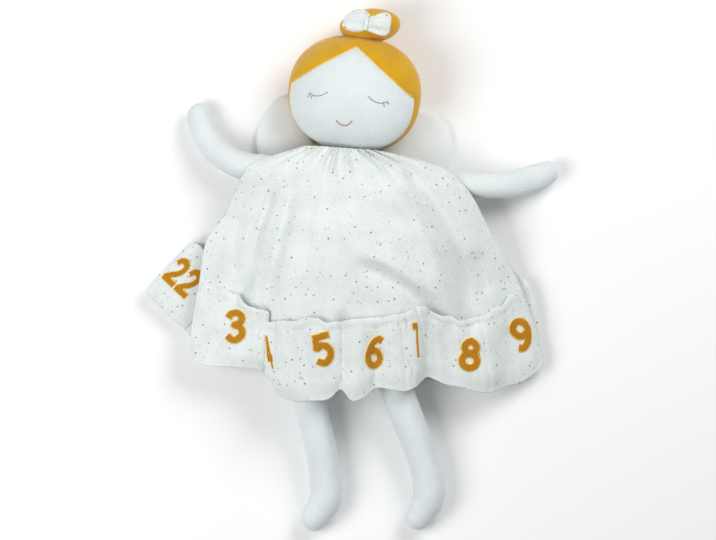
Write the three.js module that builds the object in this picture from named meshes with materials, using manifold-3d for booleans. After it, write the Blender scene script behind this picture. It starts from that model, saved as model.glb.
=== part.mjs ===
// Stuffed cloth angel doll lying on its back, with a hem of numbered pockets all round its dress.
// Millimetres. +Z is up, out of the doll's front; +Y runs towards its head; +X is the viewer's right.
// The origin is the middle of the doll's outline, on the surface that it lies on.
import * as THREE from 'three';
import { mergeVertices } from 'three/addons/utils/BufferGeometryUtils.js';
import Module from 'manifold-3d';

// Gaps and cloth
const CLEAR = 0.3;
const CLOTH = 1.6;
const FAR = 200;
const FRAME_SHIFT = { x: -3.3, y: -1.3 };

// Head
const HEAD_CENTRE = { x: 4.2, y: 163.7 };
const HEAD_WIDTH = 124;
const HEAD_HEIGHT = 108;
const HEAD_DEPTH = 84;
const HEAD_TILT = -8;
const HEAD_TURN = -7;
const HEAD_LIFT = 0.5;
const PANEL_SEAM = 11;
const HAIRLINE = { apexX: -4.8, apexY: 44.4, leftY: 0, rightY: 2.4 };
const BUN = { x: 5.3, y: 64.8, z: -2, width: 57, height: 33, depth: 42 };
const BOW = { x: 3, y: 66.6, reach: 21, height: 24, pinch: 18, thick: 9, proud: 4 };
const KNOT = { width: 5, height: 16, thick: 11, proud: 5 };

// Neck and torso
const NECK = { x: 1, y: 100, z: 38, ball: 20.1 };
const ELASTIC = { x: -3.7, y: 101, width: 68, depth: 37.4, cord: 2.6 };
const TORSO_X = -2;
const TORSO_END = -62;
const TORSO_SIDES = 14;
const TORSO_RINGS = [
  { y: 0, half: 44, deep: 40 },
  { y: 14, half: 50, deep: 48 },
  { y: 45, half: 52, deep: 54 },
  { y: 85, half: 47, deep: 53 },
  { y: 122, half: 43, deep: 49 },
  { y: 141, half: 43, deep: 45 },
  { y: 149, half: 39, deep: 43 },
  { y: 152.2, half: 28, deep: 40 },
];

// Limbs: the middle line from the sewn end to the tip, with the radius at each point
const ARM_RADIUS = 12.6;
const ARM_LEFT = [
  { x: -51.8, y: 91, z: 30, r: ARM_RADIUS },
  { x: -78, y: 95, z: 30, r: ARM_RADIUS },
  { x: -97, y: 96.5, z: 29.6, r: 12.8 },
  { x: -117, y: 105.5, z: 24, r: 12.4 },
  { x: -131, y: 119.5, z: 16, r: 12.6 },
  { x: -139, y: 136, z: 13, r: 12.2 },
  { x: -140.5, y: 144.5, z: 12, r: 11.4 },
];
const ARM_RIGHT = [
  { x: 51, y: 84, z: 30, r: ARM_RADIUS },
  { x: 85, y: 81, z: 30, r: ARM_RADIUS },
  { x: 116, y: 79, z: 29, r: 12 },
  { x: 150, y: 80, z: 22, r: 12.8 },
  { x: 174, y: 86.5, z: 14, r: 12.6 },
  { x: 184, y: 91, z: 12, r: 10.8 },
];
const LEG_RADIUS = 15.4;
const LEG_LEFT = [
  { x: -41, y: -78, z: 30, r: LEG_RADIUS },
  { x: -37, y: -121, z: 27.6, r: LEG_RADIUS },
  { x: -26, y: -172, z: 21, r: 14.6 },
  { x: -22.3, y: -200, z: 16.5, r: 15.2 },
  { x: -23, y: -214, z: 15.2, r: 15 },
  { x: -29, y: -225, z: 14, r: 13.4 },
  { x: -34, y: -232, z: 12.8, r: 12 },
];
const LEG_RIGHT = [
  { x: 33, y: -78, z: 30, r: LEG_RADIUS },
  { x: 47, y: -121, z: 27.6, r: LEG_RADIUS },
  { x: 67.4, y: -174, z: 21, r: 14.4 },
  { x: 73.5, y: -200, z: 16.5, r: 15.2 },
  { x: 73.3, y: -213, z: 15.2, r: 15 },
  { x: 68, y: -223.5, z: 14, r: 13.4 },
  { x: 63.4, y: -231, z: 12.8, r: 12 },
];

// Wings: each outline from its root, the left one mirrored
const WING_ORIGIN = { x: 0, y: 79 };
const WING_TILT = -6;
const WING_ROOT = 8;
const WING_THICK = 13;
const WING_ROUND = 4;
const WING_LEFT = [
  [WING_ROOT, -20], [40, -22], [74, -4], [91, 30], [86, 62], [69, 77], [57, 68], [33, 29], [WING_ROOT, 10],
];
const WING_RIGHT = [
  [WING_ROOT, -20], [40, -22], [74, -4], [91, 30], [89, 55], [78, 70], [62, 76], [48, 72], [24, 36],
  [WING_ROOT, 12],
];

// Dress: stations from the neck to the hem
const EDGE_LEFT = [
  [-40.9, 112.5], [-76.3, 105.1], [-93, 98.6], [-102.3, 83.7], [-115.3, 53.9],
  [-133, 27.9], [-136.7, -14], [-145.1, -55.8], [-146.9, -81.8],
];
const EDGE_RIGHT = [
  [33.5, 110.7], [74.4, 99.5], [94.9, 89.3], [113.5, 68.8], [129.3, 39.1],
  [150.7, 1.9], [165.5, -30.7], [176.7, -65.1], [181.4, -89.3],
];
const MIDDLE_Y = [106, 95, 81.8, 59.5, 27.9, -4.7, -44.6, -85.6, -117.2];
const MIDDLE_Z = [57.5, 63, 67, 72, 77, 75, 67, 59, 56];
const LIFT_LEFT = [35, 30, 28.5, 27.5, 22, 18.4, 18.4, 18.4, 18.4];
const LIFT_RIGHT = [35, 30, 28.5, 27.5, 22, 7, 1.6, 0.6, 0.4];
const FRONT_COLUMNS = 36;
const FRONT_ROWS = 14;
const FOLD_COUNT = 8;
const FOLD_HEIGHT = 5;
const FOLD_AT_NECK = 0.2;
const FOLD_GROWTH = 2.5;
const FOLD_LEAN = 1.2;
const DOME_NECK = 0.85;
const DOME_HEM = 1.3;
const DOME_SPREAD = 2.2;
const HEM_BULGE = 3;
const BACK_LEVEL = 9.5;
const BACK_RISE = 5;
const HEM_Y = -122;
const NECKLINE_Y = 112;
const BACK_OUTLINE = [
  [-40.9, 112.5], [-76.3, 105.1], [-93, 98.6], [-102.3, 83.7], [-115.3, 53.9], [-135, 27], [-178, -14],
  [-186, -25], [-150, -58], [-145, -80], [-88, -86], [-62, -110], [-20, -112], [45, -106], [75, -95],
  [125, -108], [176, -90], [182, -80], [175, -45], [166.5, -8.4], [150.7, 1.9], [129.3, 39.1],
  [113.5, 68.8], [94.9, 89.3], [74.4, 99.5], [33.5, 110.7],
];

// Pockets: width across, height to the mouth, and the room inside
const POCKET_HEIGHT = 66;
const POCKET_ROOM = 7;
const POCKET_SLOPE = 5;
const POCKET_SINK = 1;
const WALL_SHARE = 1.2;
const POCKET_FRONT = [
  { number: 3, x: -111, y: -56, turn: -3, width: 48 },
  { number: 4, x: -73, y: -70, turn: 0, width: 24 },
  { number: 5, x: -31, y: -80, turn: 5, width: 54 },
  { number: 6, x: 22, y: -78, turn: 4, width: 48 },
  { number: 7, x: 61, y: -72, turn: 0, width: 26 },
  { number: 8, x: 104, y: -76, turn: -2, width: 42 },
  { number: 9, x: 156, y: -58, turn: 18, width: 42 },
];
const BACK_FIRST = 10;
const BACK_COUNT = 12;
const BACK_PITCH = 25.4;
const BACK_START_X = 148;
const BACK_WIDTH = 25;
const BACK_DEPTH = BACK_LEVEL - CLEAR;
const BACK_HEIGHT = 60;
const BACK_INSET = 2;
const BACK_HEM_TOP = -56;
const SIDE_TURN = -43.6;
const SIDE_PANEL = { x: -164.1, y: 3.3, length: 104, height: 69 };
const SIDE_POCKETS = [
  { number: 22, start: 1, width: 52, height: 67 },
  { number: 23, start: 54, width: 24, height: 60 },
  { number: 24, start: 79, width: 24, height: 60 },
];
const TUCK_ROOM = 5.6;
const TUCK_CLOTH = 1.2;
const TUCK_SLOPE = 3;
const TUCK_INSET = 1;
const FOLD_PANEL = { x: -111, y: -48, width: 58, height: 62 };
const TUCK_POCKETS = [
  { number: 2, x: -125.5, width: 27 },
  { number: 1, x: -96.5, width: 27 },
];

// Colours
const WHITE_COTTON = 0xe3ebee;
const WHITE_LINEN = 0xe8eeec;
const MUSTARD_VELVET = 0xd9a516;
const FIBRE_WHITE = 0xf2f2ee;

const wasm = await Module();
wasm.setup();
const TURN = Math.PI / 180;

// Colour and roughness of one cloth
function cloth(colour, roughness = 0.9) {
  return new THREE.MeshStandardMaterial({ color: colour, roughness, metalness: 0 });
}

// A closed geometry as a solid that can be joined and cut
function solidOf(geometry) {
  const bare = geometry.clone();
  bare.deleteAttribute('normal');
  bare.deleteAttribute('uv');
  const merged = mergeVertices(bare, 1e-4);
  const vertProperties = new Float32Array(merged.attributes.position.array);
  const triVerts = new Uint32Array(merged.index.array);
  return new wasm.Manifold(new wasm.Mesh({ numProp: 3, vertProperties, triVerts }));
}

// A joined or cut solid as a geometry again
function geometryOf(solid) {
  const mesh = solid.getMesh();
  const geometry = new THREE.BufferGeometry();
  geometry.setAttribute('position', new THREE.BufferAttribute(new Float32Array(mesh.vertProperties), 3));
  geometry.setIndex(new THREE.BufferAttribute(new Uint32Array(mesh.triVerts), 1));
  geometry.computeVertexNormals();
  return geometry;
}

// Six times the volume inside a list of triangles, negative when they face inwards
function signedVolume(points, index) {
  let sum = 0;
  const across = new THREE.Vector3();
  for (let i = 0; i < index.length; i += 3) {
    across.crossVectors(points[index[i + 1]], points[index[i + 2]]);
    sum += points[index[i]].dot(across);
  }
  return sum;
}

// A closed solid from points and triangles, turned to face out
function closedGeometry(points, index) {
  if (signedVolume(points, index) < 0) {
    index.reverse();
  }
  const geometry = new THREE.BufferGeometry().setFromPoints(points);
  geometry.setIndex(index);
  geometry.computeVertexNormals();
  return geometry;
}

// A solid skinned over rings of equal point counts, with both ends closed
function loft(rings) {
  const count = rings[0].length;
  const points = rings.flat();
  const index = [];
  for (let i = 0; i + 1 < rings.length; i += 1) {
    for (let j = 0; j < count; j += 1) {
      const a = i * count + j;
      const b = i * count + ((j + 1) % count);
      index.push(a, b, b + count, a, b + count, a + count);
    }
  }
  const last = (rings.length - 1) * count;
  const startCap = points.push(middleOf(rings[0])) - 1;
  const endCap = points.push(middleOf(rings.at(-1))) - 1;
  for (let j = 0; j < count; j += 1) {
    const next = (j + 1) % count;
    index.push(startCap, next, j);
    index.push(endCap, last + j, last + next);
  }
  return closedGeometry(points, index);
}

function middleOf(ring) {
  const sum = ring.reduce((total, point) => total.add(point), new THREE.Vector3());
  return sum.divideScalar(ring.length);
}

// A stuffed tube: round ends, and a radius that swells and tapers along its middle line
function stuffedTube(stations, sides = 12, steps = 12) {
  const path = new THREE.CatmullRomCurve3(stations.map((s) => new THREE.Vector3(s.x, s.y, s.z)));
  const radii = new THREE.SplineCurve(stations.map((s, i) => new THREE.Vector2(i, s.r)));
  const up = new THREE.Vector3(0, 0, 1);
  const rings = [];
  const ringAt = (t, along, share) => {
    const tangent = path.getTangent(t);
    const side = new THREE.Vector3().crossVectors(tangent, up).normalize();
    const top = new THREE.Vector3().crossVectors(side, tangent);
    const radius = radii.getPoint(t).y;
    const centre = path.getPoint(t).addScaledVector(tangent, along * radius);
    const ring = [];
    for (let j = 0; j < sides; j += 1) {
      const angle = ((j + 0.5) / sides) * 2 * Math.PI;
      const point = centre.clone().addScaledVector(side, Math.cos(angle) * radius * share);
      ring.push(point.addScaledVector(top, Math.sin(angle) * radius * share));
    }
    rings.push(ring);
  };
  const capAngles = [75, 50, 25].map((degrees) => degrees * TURN);
  capAngles.forEach((angle) => ringAt(0, -Math.sin(angle), Math.cos(angle)));
  for (let i = 0; i <= steps; i += 1) {
    ringAt(i / steps, 0, 1);
  }
  capAngles.reverse().forEach((angle) => ringAt(1, Math.sin(angle), Math.cos(angle)));
  return loft(rings);
}

// A ball stretched to three widths
function ellipsoid(width, height, depth, columns = 20, rows = 12) {
  return new THREE.SphereGeometry(0.5, columns, rows).scale(width, height, depth);
}

function box(width, height, depth) {
  return new THREE.BoxGeometry(width, height, depth);
}

// A plate from an outline in X and Y, standing on z = 0
function plate(outline, thickness) {
  const shape = new THREE.Shape(outline.map(([x, y]) => new THREE.Vector2(x, y)));
  return new THREE.ExtrudeGeometry(shape, { depth: thickness, bevelEnabled: false });
}

// Four corners of a rectangle from one y to another, at height z
function rectangle(width, low, high, z) {
  const half = width / 2;
  const corners = [[-half, low], [half, low], [half, high], [-half, high]];
  return corners.map(([x, y]) => new THREE.Vector3(x, y, z));
}

// A pouch open at its mouth (+Y) and at its back (z = 0): two sides, a bottom and a front panel
function pouch(width, height, depth, wall, slope = POCKET_SLOPE) {
  const outer = loft([
    rectangle(width, 0, height, 0),
    rectangle(width - 2 * slope, slope, height, depth),
  ]);
  const steep = slope / depth;
  const inset = wall * WALL_SHARE;
  const below = 1;
  const roof = depth - wall;
  const inner = loft([
    rectangle(width - 2 * inset + 2 * steep * below, inset - steep * below, height + 1, -below),
    rectangle(width - 2 * inset - 2 * steep * roof, inset + steep * roof, height + 1, roof),
  ]);
  return solidOf(outer).subtract(solidOf(inner));
}

// The largest of the bodies that a cut leaves
function largestBody(solid) {
  return solid.decompose().reduce((best, next) => (next.volume() > best.volume() ? next : best));
}

const doll = new THREE.Group();
const lying = new THREE.Group();
lying.position.set(FRAME_SHIFT.x, FRAME_SHIFT.y, 0);
doll.add(lying);

// Adds one named piece to a group
function addPiece(group, name, geometry, material) {
  const mesh = new THREE.Mesh(geometry, material);
  mesh.name = name;
  group.add(mesh);
  return mesh;
}

const linen = cloth(WHITE_LINEN);
const cotton = cloth(WHITE_COTTON);
const velvet = cloth(MUSTARD_VELVET, 0.95);
const fibre = cloth(FIBRE_WHITE);

// Height of the upper face of the dress's back panel
const backSlope = BACK_RISE / (NECKLINE_Y - HEM_Y);
function backTop(y) {
  return BACK_LEVEL + CLOTH + (y - HEM_Y) * backSlope;
}

// The dress's front panel: a sheet over the body, with folds that open out towards the hem
const leftEdge = new THREE.SplineCurve(EDGE_LEFT.map(([x, y]) => new THREE.Vector2(x, y)));
const rightEdge = new THREE.SplineCurve(EDGE_RIGHT.map(([x, y]) => new THREE.Vector2(x, y)));
const stationCurve = (values) => {
  const stations = values.map((value, i) => new THREE.Vector2(i, value));
  return new THREE.SplineCurve(stations);
};
const middleY = stationCurve(MIDDLE_Y);
const middleZ = stationCurve(MIDDLE_Z);
const liftLeft = stationCurve(LIFT_LEFT);
const liftRight = stationCurve(LIFT_RIGHT);

// A point on the underside of the front panel: u across from -1 to 1, v from neck 0 to hem 1
function frontPoint(u, v) {
  const left = leftEdge.getPoint(v);
  const right = rightEdge.getPoint(v);
  const share = (u + 1) / 2;
  const bulge = middleY.getPoint(v).y - (left.y + right.y) / 2;
  const x = left.x + (right.x - left.x) * share;
  const y = left.y + (right.y - left.y) * share + bulge * (1 - Math.abs(u) ** HEM_BULGE);
  const lift = (u < 0 ? liftLeft : liftRight).getPoint(v).y;
  const side = backTop(y) + CLEAR + lift;
  const drop = DOME_NECK + (DOME_HEM - DOME_NECK) * THREE.MathUtils.smoothstep(v, 0.3, 0.7);
  const dome = (1 - Math.abs(u) ** DOME_SPREAD) ** drop;
  const fold = FOLD_HEIGHT * Math.min(1, FOLD_GROWTH * v + FOLD_AT_NECK) * dome;
  const wave = 0.5 + 0.5 * Math.cos(FOLD_COUNT * Math.PI * u + FOLD_LEAN * v);
  return new THREE.Vector3(x, y, side + (middleZ.getPoint(v).y - side) * dome + fold * wave);
}

// A closed sheet between the front panel's underside raised by one height and by another, or a flat floor
function frontSheet(lower, upper, floor = null) {
  const points = [];
  const index = [];
  const across = FRONT_COLUMNS + 1;
  const layer = across * (FRONT_ROWS + 1);
  for (const raise of [lower, upper]) {
    for (let row = 0; row <= FRONT_ROWS; row += 1) {
      for (let column = 0; column < across; column += 1) {
        const point = frontPoint((2 * column) / FRONT_COLUMNS - 1, row / FRONT_ROWS);
        point.z = floor !== null && raise === lower ? floor : point.z + raise;
        points.push(point);
      }
    }
  }
  for (let row = 0; row < FRONT_ROWS; row += 1) {
    for (let column = 0; column < FRONT_COLUMNS; column += 1) {
      const a = row * across + column;
      const b = a + 1;
      const c = a + across;
      const d = c + 1;
      index.push(a, b, d, a, d, c);
      index.push(layer + a, layer + d, layer + b, layer + a, layer + c, layer + d);
    }
  }
  const rim = [];
  for (let column = 0; column < FRONT_COLUMNS; column += 1) {
    rim.push(column);
  }
  for (let row = 0; row < FRONT_ROWS; row += 1) {
    rim.push(row * across + FRONT_COLUMNS);
  }
  for (let column = FRONT_COLUMNS; column > 0; column -= 1) {
    rim.push(FRONT_ROWS * across + column);
  }
  for (let row = FRONT_ROWS; row > 0; row -= 1) {
    rim.push(row * across);
  }
  rim.forEach((a, i) => {
    const b = rim[(i + 1) % rim.length];
    index.push(a, layer + a, layer + b, a, layer + b, b);
  });
  return closedGeometry(points, index);
}

addPiece(lying, 'dress_front', frontSheet(0, CLOTH), linen);

const backFrame = new THREE.Group();
backFrame.position.set(0, HEM_Y, BACK_LEVEL);
backFrame.rotation.x = Math.atan(backSlope);
lying.add(backFrame);
const backPlate = plate(BACK_OUTLINE.map(([x, y]) => [x, y - HEM_Y]), CLOTH);
addPiece(backFrame, 'dress_back', backPlate, linen);

// Panel at the viewer's left that comes up from the back and carries the last pockets
const sideFrame = new THREE.Group();
sideFrame.position.set(SIDE_PANEL.x, SIDE_PANEL.y - HEM_Y, CLOTH + CLEAR);
sideFrame.rotation.z = SIDE_TURN * TURN;
backFrame.add(sideFrame);
const sidePlate = plate([
  [0, -SIDE_PANEL.height / 2],
  [SIDE_PANEL.length, -SIDE_PANEL.height / 2],
  [SIDE_PANEL.length, SIDE_PANEL.height / 2],
  [0, SIDE_PANEL.height / 2],
], TUCK_CLOTH);
addPiece(sideFrame, 'dress_side_panel', sidePlate, linen);

const pocketName = (number) => `pocket_${String(number).padStart(2, '0')}`;
const tuckDepth = TUCK_ROOM + TUCK_CLOTH;
for (const pocket of SIDE_POCKETS) {
  const shape = geometryOf(pouch(pocket.width, pocket.height, tuckDepth, TUCK_CLOTH, TUCK_SLOPE));
  const mesh = addPiece(sideFrame, pocketName(pocket.number), shape, linen);
  mesh.position.set(pocket.start + pocket.width / 2, TUCK_INSET - SIDE_PANEL.height / 2, TUCK_CLOTH + CLEAR);
}

// Panel folded under the front, with two pockets on its hidden face
const tuckFloor = CLOTH + TUCK_CLOTH + tuckDepth + 3 * CLEAR;
const foldFrame = new THREE.Group();
foldFrame.position.set(FOLD_PANEL.x, FOLD_PANEL.y - HEM_Y, tuckFloor + tuckDepth + CLEAR);
backFrame.add(foldFrame);
const foldHalf = FOLD_PANEL.width / 2;
const foldPlate = plate([
  [-foldHalf, -FOLD_PANEL.height / 2],
  [foldHalf, -FOLD_PANEL.height / 2],
  [foldHalf, FOLD_PANEL.height / 2],
  [-foldHalf, FOLD_PANEL.height / 2],
], TUCK_CLOTH);
addPiece(foldFrame, 'dress_fold_panel', foldPlate, linen);
for (const pocket of TUCK_POCKETS) {
  const tall = FOLD_PANEL.height - 2 * TUCK_INSET;
  const shape = geometryOf(pouch(pocket.width, tall, tuckDepth, TUCK_CLOTH, TUCK_SLOPE));
  const mesh = addPiece(foldFrame, pocketName(pocket.number), shape, linen);
  mesh.position.set(pocket.x - FOLD_PANEL.x, TUCK_INSET - FOLD_PANEL.height / 2, -CLEAR);
  mesh.rotation.y = Math.PI;
}

// Pockets on the front: their walls run down to the folds of the cloth under them
const underFront = solidOf(frontSheet(0, CLOTH + CLEAR, -FAR));
const overFront = solidOf(frontSheet(0, FAR, -FAR));

// The plane that lies closest to the front panel under a pocket, and how far the cloth leaves it
function frontSeat(pocket) {
  const points = [];
  const turn = pocket.turn * TURN;
  const along = new THREE.Vector3(Math.cos(turn), Math.sin(turn), 0);
  const fine = 3;
  for (let row = 0; row <= FRONT_ROWS * fine; row += 1) {
    for (let column = 0; column <= FRONT_COLUMNS * fine; column += 1) {
      const point = frontPoint((2 * column) / (FRONT_COLUMNS * fine) - 1, row / (FRONT_ROWS * fine));
      const offset = new THREE.Vector3(point.x - pocket.x, point.y - pocket.y, 0);
      const across = offset.dot(along);
      const up = along.x * offset.y - along.y * offset.x;
      if (Math.abs(across) <= pocket.width / 2 && Math.abs(up) <= POCKET_HEIGHT / 2) {
        points.push({ across, up, z: point.z + CLOTH });
      }
    }
  }
  const mean = (pick) => points.reduce((sum, point) => sum + pick(point), 0) / points.length;
  const level = mean((point) => point.z);
  const rise = (pick) => {
    const centre = mean(pick);
    const spread = mean((point) => (pick(point) - centre) ** 2);
    return mean((point) => (pick(point) - centre) * (point.z - level)) / spread;
  };
  const riseAcross = rise((point) => point.across);
  const riseUp = rise((point) => point.up);
  const middle = level - riseAcross * mean((point) => point.across) - riseUp * mean((point) => point.up);
  const off = points.map((point) => point.z - middle - riseAcross * point.across - riseUp * point.up);
  return { along, middle, riseAcross, riseUp, low: Math.min(...off), high: Math.max(...off) };
}

for (const pocket of POCKET_FRONT) {
  const seat = frontSeat(pocket);
  const acrossWay = new THREE.Vector3(seat.along.x, seat.along.y, seat.riseAcross).normalize();
  const upWay = new THREE.Vector3(-seat.along.y, seat.along.x, seat.riseUp).normalize();
  const outWay = new THREE.Vector3().crossVectors(acrossWay, upWay).normalize();
  const frame = new THREE.Matrix4().makeBasis(acrossWay, outWay.clone().cross(acrossWay), outWay);
  frame.setPosition(pocket.x, pocket.y, seat.middle);
  const depth = seat.high - seat.low + POCKET_SINK + POCKET_ROOM + CLOTH;
  const bag = pouch(pocket.width, POCKET_HEIGHT, depth, CLOTH)
    .translate([0, -POCKET_HEIGHT / 2, seat.low - POCKET_SINK])
    .transform(frame.elements);
  const trimmed = largestBody(bag.intersect(overFront).subtract(underFront));
  addPiece(lying, pocketName(pocket.number), geometryOf(trimmed), linen);
}

// Pockets under the back, lying with their flat front panels on the surface
for (let i = 0; i < BACK_COUNT; i += 1) {
  const x = BACK_START_X - i * BACK_PITCH;
  const mouth = geometryOf(pouch(BACK_WIDTH, BACK_HEIGHT, BACK_DEPTH, CLOTH, TUCK_SLOPE));
  const mesh = addPiece(lying, pocketName(BACK_FIRST + i), mouth, linen);
  mesh.position.set(x, backHem(x), BACK_LEVEL - CLEAR);
  mesh.rotation.y = Math.PI;
}

// The back panel's hem line under a pocket at x
function backHem(x) {
  const half = BACK_WIDTH / 2;
  let lowest = -Infinity;
  for (let i = 0; i < BACK_OUTLINE.length; i += 1) {
    const [ax, ay] = BACK_OUTLINE[i];
    const [bx, by] = BACK_OUTLINE[(i + 1) % BACK_OUTLINE.length];
    const near = Math.max(ax, bx) > x - half && Math.min(ax, bx) < x + half;
    if (near && ay < BACK_HEM_TOP && by < BACK_HEM_TOP) {
      lowest = Math.max(lowest, Math.min(ay, by));
    }
  }
  return lowest + BACK_INSET;
}

// Torso: an egg of stuffing in one cloth cover, narrow at the neck
const torsoRings = TORSO_RINGS.map((ring) => {
  const points = [];
  for (let j = 0; j < TORSO_SIDES; j += 1) {
    const angle = ((j + 0.5) / TORSO_SIDES) * 2 * Math.PI;
    const height = ring.deep / 2 + (ring.deep / 2) * Math.sin(angle);
    points.push(new THREE.Vector3(ring.half * Math.cos(angle), ring.y, height));
  }
  return points;
});
const torsoFrame = new THREE.Group();
torsoFrame.position.set(TORSO_X, TORSO_END - HEM_Y, CLOTH + CLEAR);
backFrame.add(torsoFrame);
addPiece(torsoFrame, 'torso', loft(torsoRings), cotton);

const elasticLoop = new THREE.TorusGeometry(ELASTIC.width / 2, ELASTIC.cord / 2, 6, 28);
elasticLoop.scale(1, ELASTIC.depth / ELASTIC.width, 1).rotateX(Math.PI / 2);
const elasticZ = backTop(ELASTIC.y) + CLEAR + (ELASTIC.depth + ELASTIC.cord) / 2;
const elastic = addPiece(lying, 'neck_elastic', elasticLoop, fibre);
elastic.position.set(ELASTIC.x, ELASTIC.y, elasticZ);

// Head: a core of stuffing in three cloth panels, turned and tilted on the neck
const headFrame = new THREE.Group();
headFrame.position.set(HEAD_CENTRE.x, HEAD_CENTRE.y, HEAD_DEPTH / 2 + HEAD_LIFT);
headFrame.rotation.set(0, HEAD_TURN * TURN, HEAD_TILT * TURN, 'ZYX');
lying.add(headFrame);

const headSkin = solidOf(ellipsoid(HEAD_WIDTH, HEAD_HEIGHT, HEAD_DEPTH));
const hollow = 2 * CLOTH;
const headRoom = solidOf(ellipsoid(HEAD_WIDTH - hollow, HEAD_HEIGHT - hollow, HEAD_DEPTH - hollow));
const headShell = headSkin.subtract(headRoom);
const coreCut = hollow + 2 * CLEAR;
const headCore = ellipsoid(HEAD_WIDTH - coreCut, HEAD_HEIGHT - coreCut, HEAD_DEPTH - coreCut);
addPiece(headFrame, 'head_filling', headCore, fibre);

const reach = HEAD_WIDTH;
const half = HEAD_WIDTH / 2;
const halfRoom = solidOf(box(2 * reach, 2 * reach, reach));
const frontHalf = halfRoom.translate([0, 0, PANEL_SEAM + (reach + CLEAR) / 2]);
const backHalf = halfRoom.translate([0, 0, PANEL_SEAM - (reach + CLEAR) / 2]);
const faceSide = (gap) => solidOf(plate([
  [HAIRLINE.apexX, HAIRLINE.apexY + gap],
  [-half, HAIRLINE.leftY + gap],
  [-reach, HAIRLINE.leftY + gap],
  [-reach, -reach],
  [reach, -reach],
  [reach, HAIRLINE.rightY + gap],
  [half, HAIRLINE.rightY + gap],
], reach));
addPiece(headFrame, 'face_panel', geometryOf(headShell.intersect(frontHalf).intersect(faceSide(0))), cotton);
const hairFront = headShell.intersect(frontHalf).subtract(faceSide(2 * CLEAR));
addPiece(headFrame, 'hair_front', geometryOf(hairFront), velvet);
addPiece(headFrame, 'hair_back', geometryOf(headShell.intersect(backHalf)), velvet);

const grow = 2 * CLEAR;
const aroundHead = solidOf(ellipsoid(HEAD_WIDTH + grow, HEAD_HEIGHT + grow, HEAD_DEPTH + grow));
const bunAt = [BUN.x, BUN.y, BUN.z];
const bun = solidOf(ellipsoid(BUN.width, BUN.height, BUN.depth, 16, 10)).translate(bunAt);
addPiece(headFrame, 'hair_bun', geometryOf(bun.subtract(aroundHead)), velvet);

const bunRoom = ellipsoid(BUN.width + grow, BUN.height + grow, BUN.depth + grow, 16, 10);
const aroundBun = solidOf(bunRoom).translate(bunAt);
const bunFront = BUN.z + BUN.depth / 2;
for (const [name, way] of [['bow_loop_left', -1], ['bow_loop_right', 1]]) {
  const near = way * (KNOT.width / 2 + CLEAR);
  const far = way * (KNOT.width / 2 + BOW.reach);
  const fan = plate([
    [near, -BOW.pinch / 2], [far, -BOW.height / 2], [far, BOW.height / 2], [near, BOW.pinch / 2],
  ], BOW.thick);
  const loop = solidOf(fan).translate([BOW.x, BOW.y, bunFront + BOW.proud - BOW.thick]);
  addPiece(headFrame, name, geometryOf(loop.subtract(aroundBun).subtract(aroundHead)), linen);
}
const knotBox = solidOf(box(KNOT.width, KNOT.height, KNOT.thick));
const knot = knotBox.translate([BOW.x, BOW.y, bunFront + KNOT.proud - KNOT.thick / 2]);
addPiece(headFrame, 'bow_knot', geometryOf(knot.subtract(aroundBun).subtract(aroundHead)), linen);

// Neck: a ball of stuffing that the head nods and tilts round
const neckBall = ellipsoid(NECK.ball, NECK.ball, NECK.ball, 14, 10);
addPiece(lying, 'neck', neckBall, cotton).position.set(NECK.x, NECK.y, NECK.z);

addPiece(lying, 'arm_left', stuffedTube(ARM_LEFT), cotton);
addPiece(lying, 'arm_right', stuffedTube(ARM_RIGHT), cotton);
addPiece(lying, 'leg_left', stuffedTube(LEG_LEFT), cotton);
addPiece(lying, 'leg_right', stuffedTube(LEG_RIGHT), cotton);

// Wings: two padded petals under the upper back
const wingFrame = new THREE.Group();
wingFrame.position.set(WING_ORIGIN.x, WING_ORIGIN.y, 0);
wingFrame.rotation.z = WING_TILT * TURN;
lying.add(wingFrame);
for (const [name, way, corners] of [['wing_left', -1, WING_LEFT], ['wing_right', 1, WING_RIGHT]]) {
  const outline = new THREE.SplineCurve(corners.map(([x, y]) => new THREE.Vector2(way * x, y)));
  const shape = new THREE.Shape(outline.getPoints(24));
  const pad = new THREE.ExtrudeGeometry(shape, {
    depth: WING_THICK - 2 * WING_ROUND,
    bevelThickness: WING_ROUND,
    bevelSize: WING_ROUND,
    bevelOffset: -WING_ROUND,
    bevelSegments: 2,
  });
  addPiece(wingFrame, name, pad.translate(0, 0, WING_ROUND), linen);
}

export default doll;
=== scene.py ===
"""Cloth angel doll with a hem of numbered pockets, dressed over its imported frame."""

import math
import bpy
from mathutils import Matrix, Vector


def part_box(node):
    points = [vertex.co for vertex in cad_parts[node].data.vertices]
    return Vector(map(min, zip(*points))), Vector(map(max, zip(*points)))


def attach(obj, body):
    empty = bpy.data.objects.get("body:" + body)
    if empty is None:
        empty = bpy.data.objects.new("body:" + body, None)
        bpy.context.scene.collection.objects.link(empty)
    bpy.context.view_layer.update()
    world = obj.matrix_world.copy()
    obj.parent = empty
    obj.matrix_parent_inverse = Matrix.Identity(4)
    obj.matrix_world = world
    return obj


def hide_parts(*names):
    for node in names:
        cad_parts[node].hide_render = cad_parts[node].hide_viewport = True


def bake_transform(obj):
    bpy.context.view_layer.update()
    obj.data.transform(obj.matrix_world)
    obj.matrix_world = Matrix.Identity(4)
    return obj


bl_info = {
    "name": "Cloth angel doll",
    "version": (1, 0, 0),
    "blender": (4, 5, 0),
    "location": "View3D > Sidebar > Doll",
    "description": "Sews the covers, dress, pockets and trim of a cloth angel doll",
    "category": "Object",
}

import bmesh
import bpy
from bpy.props import FloatProperty, IntProperty, PointerProperty, StringProperty
from mathutils import Matrix, Vector, noise
from mathutils.bvhtree import BVHTree

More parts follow.
